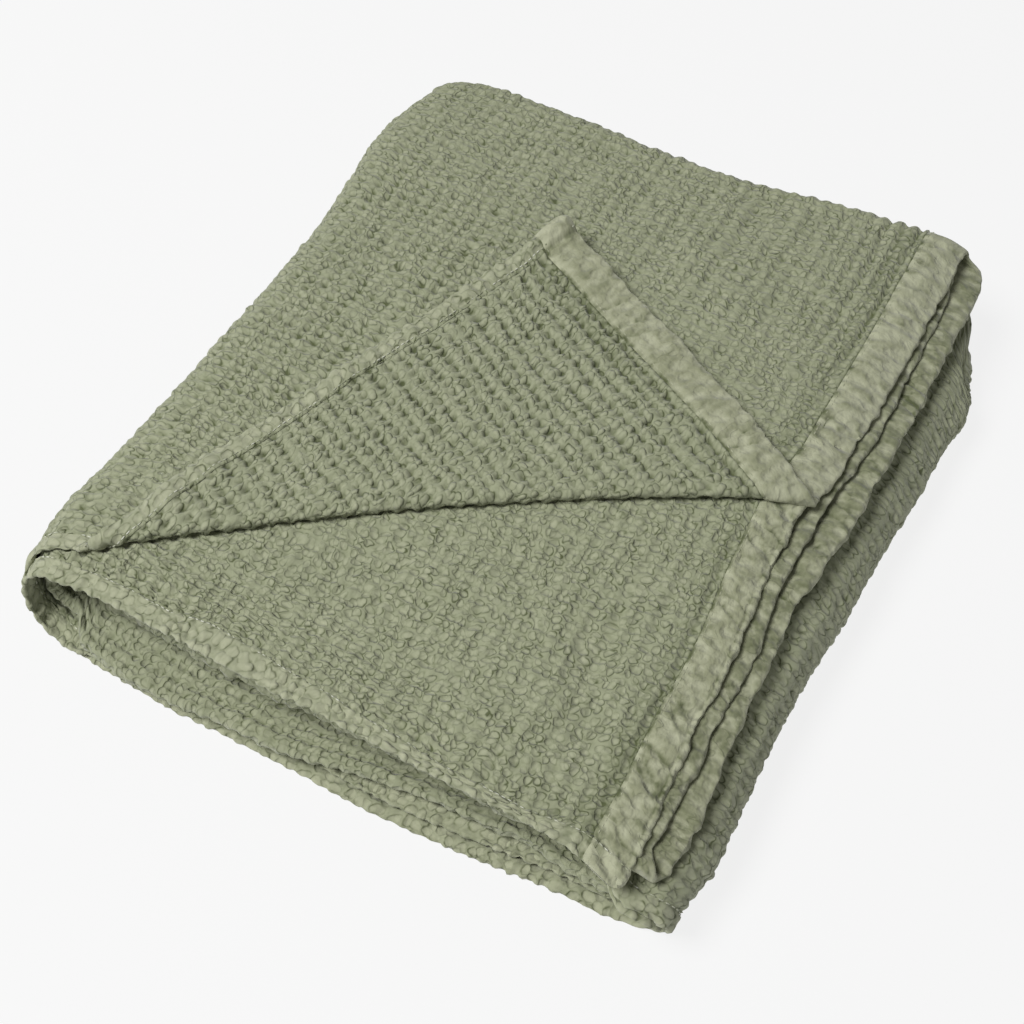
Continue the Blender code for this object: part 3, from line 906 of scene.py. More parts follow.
def binding_section(step):
    """Across a binding: distance from the blanket's end, and height, from one seam round the edge to the other."""
    face = np.arange(BINDING_WIDTH, BINDING_HALF, -step)
    turn = np.radians(np.linspace(-72, 72, 5))
    edge = BINDING_HALF * (1 - np.cos(turn))
    edge_height = BINDING_HALF * np.sin(turn)
    lip = np.array([BINDING_WIDTH + 0.0006])
    lip_height = np.array([-0.0006])
    face_height = -binding_face(face)
    across = np.concatenate((lip, face, edge, face[::-1], lip))
    height = np.concatenate((lip_height, face_height, edge_height, -face_height[::-1], -lip_height))
    return across, height


def sharp_creases(s, t, seed):
    """Sharp creases across a binding, in loose groups: 1 along each and 0 between."""
    wander = 0.004 * noise(s / 0.012, t / 0.020, seed + 4)
    ridge = noise((t + 0.30 * s + wander) / 0.0115, s / 0.075, seed + 2)
    grouped = smooth_step(0.25 + 1.6 * noise(t / 0.045, s / 0.09, seed + 3))
    return bell(ridge, 0.13) * grouped


def puckers(s, t, seed):
    """Soft cross puckers of a binding, and the sharp creases among them."""
    lean = 0.40 * s
    broad = noise((t + lean) / 0.017, s / 0.050, seed)
    middling = noise((t + 0.6 * lean) / 0.0072, s / 0.017, seed + 1)
    small = noise(t / 0.0040, s / 0.0052, seed + 5)
    raised = BROAD_PUCKER * broad + PUCKER * middling + FINE_PUCKER * small
    return raised - SHARP_CREASE * sharp_creases(s, t, seed)


def pearl_beat(t):
    """0 between two of the small puffs along a binding's edge, and 1 in the middle of each."""
    return abs(np.cos(pi * t / PEARL_PITCH + 0.6 * waver(t / 0.02, 91)))


def pearls(from_edge, t):
    """Small puffs between a binding's edge and its second row of stitches."""
    beat = pearl_beat(t)
    groove = bell(from_edge - PEARL_LINE, 0.0009)
    return 0.0017 * bell(from_edge - 0.0023, 0.0018) * (beat - 0.35) - 0.0010 * groove * (0.5 + 0.5 * beat)


def pearl_gaps(from_edge, t):
    """1 in the creases round the small puffs, where shade is painted, and 0 away from them."""
    return (1 - smooth_step(pearl_beat(t) / 0.55)) * (1 - smooth_step((from_edge - 0.0040) / 0.0010))


def corner_blocks(t):
    """1 on the thick folded blocks at a binding's two corners, and 1 on the seam behind each."""
    from_corner = np.minimum(t, LENGTH - t)
    block = 1 - smooth_step((from_corner - CORNER_BLOCK) / 0.0026)
    return block, bell(from_corner - HEM_WIDTH - 0.0006, 0.0012)


def binding_lift(t, from_edge, to_seam, pearled, own, seed):
    """How far a binding's face is raised: its puckers, its thick corners and the small puffs along its edge."""
    quiet = 1 - 0.7 * bell(from_edge - BINDING_STITCH, 0.0016)
    crown = BINDING_CROWN * np.sin(pi * from_edge / BINDING_WIDTH)
    lift = puckers(from_edge, own, seed) * to_seam * quiet + crown
    block, cross_seam = corner_blocks(t)
    swollen = np.where(t < LENGTH / 2, TOP_BLOCK_SWELL, SECOND_BLOCK_SWELL)
    lift = lift + swollen * block * np.sin(pi * np.clip(from_edge / 0.030, 0, 1)) ** 0.5 - CROSS_SEAM * cross_seam
    return lift + pearls(from_edge, t) * pearled


def binding_zones(s, t, from_edge, to_seam, pearled, own, seed):
    """How much shade is painted on a binding at each point, in its creases, by its seams, round its small puffs and on
    the plies between the top two; and how much paler it is made along its edge, with painted highlight on the two top
    plies, the turned-back corner and the thick corners.
    """
    block, cross_seam = corner_blocks(t)
    # Painted shade in the creases, along the seams and in the gaps round the small puffs
    creases = sharp_creases(from_edge, own, seed) * to_seam + 0.7 * cross_seam
    seam = bell(from_edge - BINDING_WIDTH, 0.0014) + 0.5 * bell(from_edge - PEARL_LINE, 0.0007) * pearled
    seam = seam + 0.7 * pearl_gaps(from_edge, t) * pearled
    turned = smooth_step(beyond_crease(s, t) / 0.03)
    on_top = 1 - smooth_step((t - BACK_FOLD) / 0.01)
    on_second = smooth_step((t - SECOND_PLY) / 0.01)
    # Painted highlight: the bindings of the two top plies, of the turned-back corner and of the thick corners are made
    # paler where light falls on them; the edge is paler too
    pale_edge_and_highlight = bell(from_edge, 0.0022) + 0.8 * turned + 1.7 * on_top * (1 - turned) + 0.85 * on_second
    # Painted shade on the bindings of the plies between the top two
    return creases, seam + 0.38 * (1 - on_top - on_second), pale_edge_and_highlight + 1.2 * block


def lay_binding(strip):
    """Lays the strip that binds one end of the blanket."""
    across, height = binding_section(strip.across_step)
    marks = stations(0.0, (CLOSED_END, END_STEP), (LENGTH - CLOSED_END, strip.along_step), (LENGTH, END_STEP))
    mesh, column, row = grid_mesh(strip.name, len(across), len(marks))
    normal_s, normal_h = section_normals(across, height)
    t = marks[row]
    from_edge = across[column]
    upper = column > len(across) // 2
    # Each face has its own puckers.
    own = t + np.where(upper, OTHER_FACE_SHIFT, 0.0)
    to_seam = smooth_step((BINDING_WIDTH - 0.0004 - from_edge) / 0.0035)
    pearled = smooth_step((t - INNER_BACK_FOLD) / 0.02) * np.where(upper, 0.0, 1.0)
    end = np.clip(np.minimum(t, LENGTH - t) / CLOSED_END, 0, 1)
    closing = np.sqrt(1 - (1 - end) ** 2) * 0.93 + 0.07
    lift = binding_lift(t, from_edge, to_seam, pearled, own, strip.seed) * closing
    h = height[column] * closing + lift * normal_h[column]
    wave = 0.0009 * waver(t / 0.020, strip.seed + 7) + 0.0006 * waver(t / 0.008, strip.seed + 8)
    outwards = (1 - from_edge / BINDING_WIDTH) * wave
    s = strip.edge + strip.inwards * (from_edge + lift * normal_s[column] - outwards)
    place_points(mesh, folded(s, t, h))
    add_weave_map(mesh, s / CELL_WIDTH, t / CELL_LENGTH)
    creases, seam, pale_edge_and_highlight = binding_zones(s, t, from_edge, to_seam, pearled, own, strip.seed)
    add_zone_map(mesh, creases, seam, pale_edge_and_highlight, 1.0)
    piece = add_piece(strip.name, mesh, bpy.data.materials["sage plain cotton"], [strip.node])


# Stitches

STITCH_PITCH = 0.0042
STITCH_LENGTH = 0.0036
STITCH_RADIUS = 0.00048

HEM_STITCH_PROUD = 0.0004
HEM_STITCH_UNDER = 0.0005
CORNER_STITCH_PROUD = 0.0012
CORNER_START = 0.003
END_SEAM_START = 0.017
MISSING_SHARE = 0.16
MOST_STITCHES = 4096

Seam = namedtuple("Seam", "along_end at height start end")


def hem_seams():
    """The rows of stitches that hold the side hems, over and under, and their short runs across the bound end."""
    hem = np.array(HEM_STITCH)
    open_cloth = (float(hem_over(hem)) + HEM_STITCH_PROUD, float(hem_under(hem)) - HEM_STITCH_UNDER)
    corner = (BINDING_HALF + CORNER_STITCH_PROUD, -(BINDING_HALF + CORNER_STITCH_PROUD))
    first = BINDING_WIDTH + 0.001
    rows = []
    for place in (HEM_STITCH, LENGTH - HEM_STITCH):
        rows += [Seam(False, place, height, first, WIDTH - first) for height in open_cloth]
        rows += [Seam(False, place, height, CORNER_START, first) for height in corner]
    return rows


def end_seams():
    """The two rows of stitches that hold the outer binding, over and under."""
    face = float(binding_face(np.array(BINDING_STITCH)))
    return [Seam(True, BINDING_STITCH, height, END_SEAM_START, LENGTH - END_SEAM_START) for height in (face, -face)]


def stitch_row(seam, draw):
    """One seam's stitches, in cloth coordinates: a small bead of thread, doubled until the row is long enough."""
    length = seam.end - seam.start
    row = bmesh.new()
    half = STITCH_LENGTH / 2
    sizes = (STITCH_RADIUS, half) if seam.along_end else (half, STITCH_RADIUS)
    start = (seam.at, seam.start) if seam.along_end else (seam.start, seam.at)
    matrix = Matrix.Translation((*start, seam.height)) @ Matrix.Diagonal((*sizes, STITCH_RADIUS, 1))
    bmesh.ops.create_uvsphere(row, u_segments=5, v_segments=4, radius=1.0, matrix=matrix)
    reach = STITCH_PITCH
    while reach < length:
        copy = bmesh.ops.duplicate(row, geom=row.verts[:] + row.edges[:] + row.faces[:])["geom"]
        verts = [entry for entry in copy if isinstance(entry, bmesh.types.BMVert)]
        offset = (0, reach, 0) if seam.along_end else (reach, 0, 0)
        bmesh.ops.translate(row, verts=verts, vec=offset)
        reach *= 2
    axis = 1 if seam.along_end else 0
    missing = draw.uniform(size=MOST_STITCHES) < MISSING_SHARE
    extra = []
    for vert in row.verts:
        order = round((vert.co[axis] - seam.start) / STITCH_PITCH)
        if missing[order] or order * STITCH_PITCH > length:
            extra.append(vert)
    bmesh.ops.delete(row, geom=extra, context="VERTS")
    return mesh_of(row, "row")


def lay_stitches(name, seams, finish):
    """Lays a row of stitches along every seam."""
    shape = bmesh.new()
    draw = np.random.default_rng(95)
    for seam in seams:
        mesh = stitch_row(seam, draw)
        shape.from_mesh(mesh)
        bpy.data.meshes.remove(mesh)
    # The fold's coordinates are mirrored, which turns closed shapes inside out.
    bmesh.ops.reverse_faces(shape, faces=shape.faces)
    mesh = mesh_of(shape, name)
    s, t, h = points_of(mesh).astype(float).T
    if not seams[0].along_end:
        t = t + 0.0007 * waver(s / 0.012, 96)
    place_points(mesh, folded(s, t, h))
    add_piece(name, mesh, bpy.data.materials[finish], [])


# Materials


class Number:
    """A socket that carries a number. Arithmetic on it adds Math nodes."""

    def __init__(self, finish, socket):
        self.finish = finish
        self.socket = socket

    def maths(self, operation, *others):
        sockets = dict(enumerate((self,) + others))
        node = self.finish.add("ShaderNodeMath", {"operation": operation}, sockets)
        return Number(self.finish, node.outputs[0])

    def __add__(self, other):
        return self.maths("ADD", other)

    def __sub__(self, other):
        return self.maths("SUBTRACT", other)

    def __mul__(self, other):
        return self.maths("MULTIPLY", other)

    def __truediv__(self, other):
        return self.maths("DIVIDE", other)

    def __pow__(self, other):
        return self.maths("POWER", other)

    def __rsub__(self, other):
        node = self.finish.add("ShaderNodeMath", {"operation": "SUBTRACT"}, {0: other, 1: self})
        return Number(self.finish, node.outputs[0])

    def __neg__(self):
        return self.maths("MULTIPLY", -1.0)

    __radd__ = __add__
    __rmul__ = __mul__

    def exp(self):
        return self.maths("EXPONENT")

    def fract(self):
        return self.maths("FRACT")

    def absolute(self):
        return self.maths("ABSOLUTE")

    def root(self):
        return self.maths("SQRT")

    def clamped(self):
        return self.maths("MAXIMUM", 0.0).maths("MINIMUM", 1.0)


def peak(value, middle, width):
    """1 where the value is at the middle, dying away within the width."""
    return (-(((value - middle) / width) ** 2.0)).exp()


# In cells of the packing
BUBBLE_RADIUS = 0.46
# The same for every finish of the blanket
GLOSS = 0.15
SHEEN = 0.20
SHEEN_ROUGHNESS = 0.6
# Heights of what the cloth's grid is too coarse to carry
CROWN_RISE = 0.00035
RING_DEPTH = 0.00035
CELL_PIT_DEPTH = 0.00040
BUBBLE_RISE = 0.00110
SOFT_RISE = 0.00040
THREAD_RISE = 0.000025
CRUMPLE_RISE = 0.0023
SMALL_CRUMPLE_RISE = 0.0008
PUFF_RISE = 0.0010
LINE_DEPTH = 0.00025
TWIST_RISE = 0.00005


class Finish:
    """A procedural material, built node by node."""

    def __init__(self, name, roughness):
        self.material = bpy.data.materials.new(name)
        self.material.use_nodes = True
        self.tree = self.material.node_tree
        self.shader = self.tree.nodes["Principled BSDF"]
        self.shader.inputs["Metallic"].default_value = 0.0
        self.shader.inputs["Specular IOR Level"].default_value = GLOSS
        self.shader.inputs["Roughness"].default_value = roughness
        self.shader.inputs["Sheen Weight"].default_value = SHEEN
        self.shader.inputs["Sheen Roughness"].default_value = SHEEN_ROUGHNESS

    def add(self, kind, settings=None, sockets=None):
        """A node of that type, with its settings made first and then its sockets filled or linked."""
        node = self.tree.nodes.new(kind)
        for key, value in (settings or {}).items():
            setattr(node, key, value)
        for key, value in (sockets or {}).items():
            value = value.socket if isinstance(value, Number) else value
            if isinstance(value, bpy.types.NodeSocket):
                self.tree.links.new(value, node.inputs[key])
            else:
                node.inputs[key].default_value = value
        return node

    def weave(self):
        """The cloth's own coordinates, in cells."""
        return self.add("ShaderNodeUVMap", {"uv_map": "weave"}).outputs[0]

    def split(self, vector):
        """A vector's first two numbers."""
        parts = self.add("ShaderNodeSeparateXYZ", None, {0: vector})
        return Number(self, parts.outputs[0]), Number(self, parts.outputs[1])

    def zones(self):
        """The four strengths stored at each point."""
        stored = self.add("ShaderNodeAttribute", {"attribute_name": "zones"})
        split = self.add("ShaderNodeSeparateColor", None, {0: stored.outputs["Color"]})
        strengths = [Number(self, split.outputs[channel]) for channel in range(3)]
        return strengths + [Number(self, stored.outputs["Alpha"])]

    def vector_maths(self, operation, first, second):
        """The result of one Vector Math node."""
        return self.add("ShaderNodeVectorMath", {"operation": operation}, {0: first, 1: second}).outputs[0]

    def stretched(self, vector, by_u, by_v):
        """The vector, scaled each way."""
        return self.vector_maths("MULTIPLY", vector, (by_u, by_v, 1.0))

    def in_millimetres(self, weave):
        """The cloth's coordinates, in millimetres instead of cells."""
        return self.stretched(weave, 1000 * CELL_WIDTH, 1000 * CELL_LENGTH)

    def moved(self, vector, by_u, by_v):
        """The vector, moved to another part of a pattern."""
        return self.vector_maths("ADD", vector, (by_u, by_v, 0.0))

    def noise(self, vector, scale, detail=1.0, roughness=0.55):
        """Cloudy noise from 0 to 1, finer with a larger scale."""
        made = self.add(
            "ShaderNodeTexNoise",
            {"noise_dimensions": "2D"},
            {"Vector": vector, "Scale": scale, "Detail": detail, "Roughness": roughness},
        )
        return Number(self, made.outputs[0])

    def bubbles(self, vector, by_u, by_v, randomness):
        """A packing of uneven round bubbles: how far out in its bubble each place is, and how far it lies towards the
        side of it that gets the darker painted shade.
        """
        stretched = self.stretched(vector, by_u, by_v)
        made = self.add(
            "ShaderNodeTexVoronoi",
            {"voronoi_dimensions": "2D", "feature": "F1"},
            {"Vector": stretched, "Scale": 1.0, "Randomness": randomness},
        )
        inwards = self.split(self.vector_maths("SUBTRACT", made.outputs["Position"], stretched))
        distance = Number(self, made.outputs["Distance"])
        return distance / BUBBLE_RADIUS, inwards[0] / (distance + 0.02)

    def mixed(self, factor, first, second):
        """The first colour at 0, and the second at 1."""
        node = self.add("ShaderNodeMix", {"data_type": "RGBA"}, {0: factor, 6: first, 7: second})
        return node.outputs[2]

    def colour(self, source):
        """Links the finished colour to the shader."""
        self.tree.links.new(source, self.shader.inputs["Base Color"])

    def bump(self, height):
        """Raises the surface by that height, in metres."""
        node = self.add("ShaderNodeBump", None, {"Strength": 1.0, "Distance": 1.0, "Height": height})
        self.tree.links.new(node.outputs[0], self.shader.inputs["Normal"])


def four(colour):
    """That colour with an opaque alpha."""
    return (colour[0], colour[1], colour[2], 1.0)


def waffle_cotton(settings):
    """The waffle: bubbles with creases between them, and pits and pips where the cloth's zones have them."""
    finish = Finish("sage waffle cotton", 0.93)
    place = finish.weave()
    u, v = finish.split(place)
    pips, pits, hem, shade = finish.zones()
    cells = finish.in_millimetres(place)
    warp = finish.noise(cells, 0.14) - 0.5
    warped = finish.vector_maths("ADD", place, warp * 0.4)
    small, small_shaded_side = finish.bubbles(warped, 2.0, 1.6, 0.60)
    large, large_shaded_side = finish.bubbles(warped, 1.45, 1.15, 0.60)
    away = small * (1.0 - hem) + large * hem
    shaded_side = small_shaded_side * (1.0 - hem) + large_shaded_side * hem
    bubble = (1.0 - away ** 2.0).clamped()
    across = u.fract() - 0.5
    along = v.fract() - 0.5
    reach = ((across / 0.25) ** 2.0 + (along / 0.33) ** 2.0).root() + warp * 0.9
    faint = ((finish.noise(finish.moved(cells, 7.0, 91.0), 0.15) - 0.28) * 2.5).clamped()
    ring = peak(reach, 1.05, 0.20) * pips * faint
    crown = (1.0 - reach).clamped() * pips
    pit = peak(across.absolute(), 0.5, 0.20) * peak(along.absolute(), 0.5, 0.28) * pits
    gate = ((finish.noise(finish.moved(cells, 31.0, 57.0), 0.085) - 0.30) * 3.0).clamped()
    # Painted shade along the creases between the bubbles, darker on each bubble's shaded side; these creases are only
    # painted, and the bump does not carry them
    crease = peak(away, 1.02, 0.17) * (0.25 + 0.75 * gate) * (0.60 + 0.42 * (pips + pits) + 0.45 * hem)
    crease = crease * (0.84 + 0.62 * shaded_side)
    thread = finish.noise(cells, 1.3)
    soft = finish.noise(cells, 0.30, 1.0, 0.4)
    height = CROWN_RISE * crown - RING_DEPTH * ring - CELL_PIT_DEPTH * pit
    height = height + BUBBLE_RISE * bubble ** 0.7 * (0.45 + 0.55 * gate)
    finish.bump(height + SOFT_RISE * soft + THREAD_RISE * thread)
    # Painted shade: darker in the pits, the rings round the pips, the creases, the stored seams and hollows, and where
    # the soft swell is low
    dark = (0.48 * pit + 0.45 * ring + 0.85 * crease + 0.85 * shade + 0.5 * (0.44 - soft)).clamped()
    base = finish.mixed(dark, four(settings.cloth_colour), four(settings.painted_shade_colour))
    mottle = finish.noise(cells, 0.030, 3.0)
    # Painted highlight on the bubbles, the pips' crowns and where the soft swell is high; the mottle is the cotton's
    # own uneven tone, and the hems are made paler
    light = (mottle - 0.42) * 0.7 + (soft - 0.5) * 0.7 + (bubble - 0.5) * 0.42
    light = (light + 0.20 * crown + 0.36 * hem).clamped()
    finish.colour(finish.mixed(light, base, four(settings.pale_and_highlight_colour)))


def plain_cotton(settings):
    """The bindings' plain cotton, crumpled from washing."""
    finish = Finish("sage plain cotton", 0.90)
    place = finish.weave()
    creases, seam, pale_edge_and_highlight = finish.zones()[:3]
    cells = finish.in_millimetres(place)
    large = finish.noise(finish.stretched(cells, 0.60, 1.0), 0.13, 1.0, 0.4)
    small = finish.noise(finish.moved(cells, 13.0, 71.0), 0.30, 1.0, 0.4)
    puff = (1.0 - finish.bubbles(place, 1.0, 0.9, 0.85)[0] ** 2.0).clamped()
    gate = ((finish.noise(finish.moved(cells, 3.0, 9.0), 0.05) - 0.45) * 5.0).clamped()
    lines = peak(large, 0.5, 0.030) * gate
    thread = finish.noise(cells, 1.4)
    height = CRUMPLE_RISE * large + SMALL_CRUMPLE_RISE * small + PUFF_RISE * puff
    finish.bump(height + THREAD_RISE * thread - LINE_DEPTH * lines)
    # Painted shade: darker in the stored creases and seams, along the crease lines, and where the crumples are low
    dark = (0.75 * creases + seam + 0.40 * lines + (0.42 - large) + 0.6 * (0.45 - small)).clamped()
    base = finish.mixed(dark, four(settings.binding_colour), four(settings.painted_shade_colour))
    mottle = finish.noise(cells, 0.06, 3.0)
    # Painted highlight where the crumples and puffs are high, and on the stored pale edge and highlight; the mottle is
    # the cotton's own uneven tone
    light = (large - 0.46) * 1.7 + (mottle - 0.42) * 0.9 + (puff - 0.5) * 0.55 + (small - 0.5) * 0.5
    light = (light + 0.35 * pale_edge_and_highlight).clamped()
    finish.colour(finish.mixed(light, base, four(settings.pale_and_highlight_colour)))


def sewing_thread(name, colour, settings):
    """Twisted thread, rubbed down to the cloth's colour in places."""
    finish = Finish(name, 0.8)
    place = finish.add("ShaderNodeTexCoord").outputs["Object"]
    twist = finish.noise(place, 900.0)
    wear = finish.noise(place, 70.0)
    finish.bump(TWIST_RISE * twist)
    light = ((wear - 0.38) * 4.0 + 0.3 * twist).clamped()
    finish.colour(finish.mixed(light, four(settings.cloth_colour), four(colour)))


# Settings


def colour_property(name, description, default):
    """A colour that a user can change."""
    return bpy.props.FloatVectorProperty(
        name=name, description=description, subtype="COLOR", size=3, min=0, max=1, default=default
    )


class BlanketSettings(bpy.types.PropertyGroup):
    """Sizes and colours of the cloth."""

    grid_step: bpy.props.FloatProperty(
        name="Grid step",
        description="Distance between the grid lines that carry the waffle",
        default=0.0017,
        unit="LENGTH",
    )
    cloth_colour: colour_property("Cloth", "Waffle cotton on its raised parts", (0.315, 0.335, 0.218))
    # The colour of the painted shade, mixed in where the cloth's pits, rings, creases, seams and hollows and the
    # bindings' creases and seams lie in shade
    painted_shade_colour: colour_property("Painted shade", "Shade painted in the pits, creases and seams", (0.098, 0.114, 0.050))
    # A paler colour: mixed in for the cotton's uneven tone and its paler hems and edges, and as painted highlight on
    # raised and lit parts; it is also the sage thread's colour
    pale_and_highlight_colour: colour_property("Paler tone and highlights", "Paler cotton, and painted highlight", (0.440, 0.452, 0.315))
    binding_colour: colour_property("Binding", "Plain cotton of the bound ends", (0.300, 0.312, 0.200))
    thread_colour: colour_property("Thread", "Sewing thread", (0.64, 0.65, 0.55))


class StageSettings(bpy.types.PropertyGroup):
    """The floor and the lights."""

    floor_colour: colour_property("Floor", "Plain pale floor", (0.10, 0.10, 0.10))
    floor_glow: bpy.props.FloatProperty(
        name="Floor glow", description="Even light that the floor gives back", default=0.835
    )
    key_power: bpy.props.FloatProperty(
        name="Key light", description="Power of the large soft light", default=105.0, unit="POWER"
    )
    sky: bpy.props.FloatProperty(
        name="Sky", description="Strength of the even light from all round", default=0.20
    )


# Pieces


def flap_side(s, t):
    """1 where the cloth's own face shows, and -1 on the turned-back corner, where its back shows."""
    return 1 - 2 * smooth_step((beyond_crease(s, t) - 0.004) / 0.006)


def hemmed_section(step, body):
    """Rows of a patch that starts at a side hem: the turned-under layer, the edge, then the cloth itself."""
    inner, under = hem_rows(step)
    return np.append(inner, body), np.append(under, hem_over(body))


# Where the patches of cloth meet, and the grid steps of the parts that hardly show
FRONT_STRIP = 0.052
SEEN_SECOND = 0.34
TOP_START = BINDING_WIDTH - 0.005
TOP_END = BOTTOM + 0.008
FOLD_START = RIGHT_FOLD - 0.01
FOLD_END = MIDDLE + 0.02
LAST_END = WIDTH - BINDING_WIDTH + 0.004
TOP_STEP_SHARE = 1.035
FRONT_STEP = 0.0021
INNER_STEP = 0.0022
TURN_STEP = 0.0025
INNER_FOLD_STEP = 0.0035
NEAR_STEP = 0.008
FAR_STEP = 0.012
HIDDEN_STEP = 0.014
DEEP_STEP = 0.016


def lay_ply(name, columns, body, step, second=False, hemmed=True):
    """Lays a patch of the top ply or of the second one, whose hem is the cloth's other side."""
    along, height = hemmed_section(step, body) if hemmed else (body, hem_over(body))
    if second:
        lay_cloth(name, columns, LENGTH - along, height, lambda s, t: -1.0, lambda t: LENGTH - t)
    else:
        lay_cloth(name, columns, along, height, flap_side, lambda t: t)


class MAKE_OT_top_ply(bpy.types.Operator):
    """Lays the top ply, from the bound end to the wrapped side, with its corner turned back"""

    bl_idname = "waffle_blanket.top_ply"
    bl_label = "Top Ply"

    def execute(self, context):
        step = context.scene.waffle_blanket.grid_step
        columns = stations(TOP_START, (TOP_END, TOP_STEP_SHARE * step))
        lay_ply("top_ply", columns, stations(HEM_EDGE_HALF, (BACK_FOLD_MIDDLE, step)), step)
        return {"FINISHED"}


class MAKE_OT_second_ply(bpy.types.Operator):
    """Lays the second ply, which shows where the corner is turned back"""

    bl_idname = "waffle_blanket.second_ply"
    bl_label = "Second Ply"

    def execute(self, context):
        step = context.scene.waffle_blanket.grid_step
        columns = stations(TOP_START, (TOP_END, step))
        body = stations(HEM_EDGE_HALF, (SEEN_SECOND, step), (LENGTH - SECOND_PLY, FAR_STEP))
        lay_ply("second_ply", columns, body, step, second=True)
        return {"FINISHED"}


class MAKE_OT_right_fold(bpy.types.Operator):
    """Lays both hemmed plies where they come up round the right side"""

    bl_idname = "waffle_blanket.right_fold"
    bl_label = "Right Fold"

    def execute(self, context):
        step = context.scene.waffle_blanket.grid_step
        columns = stations(FOLD_START, (FOLD_END, step))
        lay_ply("right_fold", columns, stations(HEM_EDGE_HALF, (BACK_FOLD_MIDDLE, step)), step)
        columns = stations(FOLD_START, (FOLD_END, INNER_FOLD_STEP))
        body = stations(HEM_EDGE_HALF, (FRONT_STRIP, step), (LENGTH - SECOND_PLY, NEAR_STEP))
        lay_ply("inner_right_fold", columns, body, step, second=True)
        return {"FINISHED"}


class MAKE_OT_under_plies(bpy.types.Operator):
    """Lays both hemmed plies under the stack and in its middle: fine along the front, and coarse where nothing shows"""

    bl_idname = "waffle_blanket.under_plies"
    bl_label = "Under Plies"

    def execute(self, context):
        step = context.scene.waffle_blanket.grid_step
        front = stations(HEM_EDGE_HALF, (FRONT_STRIP - 0.006, step), (FRONT_STRIP, 0.003))
        backs = (
            ("_top", stations(FRONT_STRIP, (BACK_FOLD - 0.004, HIDDEN_STEP), (BACK_FOLD_MIDDLE, step))),
            ("_second", stations(FRONT_STRIP, (LENGTH - SECOND_PLY, HIDDEN_STEP))),
        )
        for run, start, end in (("under", TOP_END, FOLD_START), ("middle", FOLD_END, LAST_END)):
            for ply, back in backs:
                second = ply == "_second"
                lay_ply(run + ply + "_front", stations(start, (end, FRONT_STEP)), front, step, second)
                lay_ply(run + ply + "_back", stations(start, (end, HIDDEN_STEP)), back, step, second, hemmed=False)
        return {"FINISHED"}


class MAKE_OT_inner_plies(bpy.types.Operator):
    """Lays the third and fourth plies, joined by the front fold"""

    bl_idname = "waffle_blanket.inner_plies"
    bl_label = "Inner Plies"

    def execute(self, context):
        step = context.scene.waffle_blanket.grid_step
        columns = stations(TOP_START, (LAST_END, INNER_STEP))
        along = stations(
            BACK_FOLD_MIDDLE,
            (FOURTH_PLY + 0.012, step),
            (FRONT_FOLD - 0.035, DEEP_STEP),
            (FRONT_FOLD + 0.055, step),
            (INNER_BACK_FOLD, DEEP_STEP),
            (SECOND_PLY, TURN_STEP),
        )
        lay_cloth("inner_plies", columns, along, 0 * along, lambda s, t: 1.0, lambda t: 0 * t + 1.0)
        return {"FINISHED"}


class MAKE_OT_bindings(bpy.types.Operator):
    """Lays the plain strips that bind the blanket's two ends"""

    bl_idname = "waffle_blanket.bindings"
    bl_label = "Bindings"

    def execute(self, context):
        for strip in BINDINGS:
            lay_binding(strip)
        return {"FINISHED"}


class MAKE_OT_stitches(bpy.types.Operator):
    """Lays the stitches of the hems and of the outer bound end"""

    bl_idname = "waffle_blanket.stitches"
    bl_label = "Stitches"

    def execute(self, context):
        lay_stitches("hem_stitches", hem_seams(), "pale sewing thread")
        lay_stitches("end_stitches", end_seams(), "sage sewing thread")
        return {"FINISHED"}


class MAKE_OT_finishes(bpy.types.Operator):
    """Makes the materials"""

    bl_idname = "waffle_blanket.finishes"
    bl_label = "Finishes"

    def execute(self, context):
        settings = context.scene.waffle_blanket
        waffle_cotton(settings)
        plain_cotton(settings)
        sewing_thread("pale sewing thread", settings.thread_colour, settings)
        sewing_thread("sage sewing thread", settings.pale_and_highlight_colour, settings)
        return {"FINISHED"}


# Stage

FLOOR_HALF = 6.0
FLOOR_GAP = 0.0005
KEY_PLACE = Vector((-1.20, -1.26, 3.00))
KEY_AIM = Vector((0, 0, 0.05))
KEY_SIZE = 1.5
CAMERA_AIM = Vector((-0.182 - FOOTPRINT_X, 0.192 - FOOTPRINT_Y, 0.082))
CAMERA_AZIMUTH = radians(29.4)
CAMERA_ELEVATION = radians(57.1)
CAMERA_DISTANCE = 0.883
CAMERA_LENS = 45.63
WHITE = (1.0, 1.0, 1.0, 1.0)


def facing(direction):
    """The turn that points a lamp or a camera that way."""
    return direction.to_track_quat("-Z", "Y").to_euler()


def make_floor(settings):
    """A plain pale floor, which gives back even light of its own."""
    shape = bmesh.new()
    bmesh.ops.create_grid(shape, x_segments=2, y_segments=2, size=FLOOR_HALF)
    bmesh.ops.translate(shape, verts=shape.verts, vec=(0, 0, -FLOOR_GAP))
    floor = add_object("floor", mesh_of(shape, "floor"))
    paint = bpy.data.materials.new("pale floor")
    paint.use_nodes = True
    shader = paint.node_tree.nodes["Principled BSDF"]
    shader.inputs["Base Color"].default_value = four(settings.floor_colour)
    shader.inputs["Roughness"].default_value = 0.9
    shader.inputs["Specular IOR Level"].default_value = 0.0
    shader.inputs["Emission Color"].default_value = WHITE
    shader.inputs["Emission Strength"].default_value = settings.floor_glow
    floor.data.materials.append(paint)


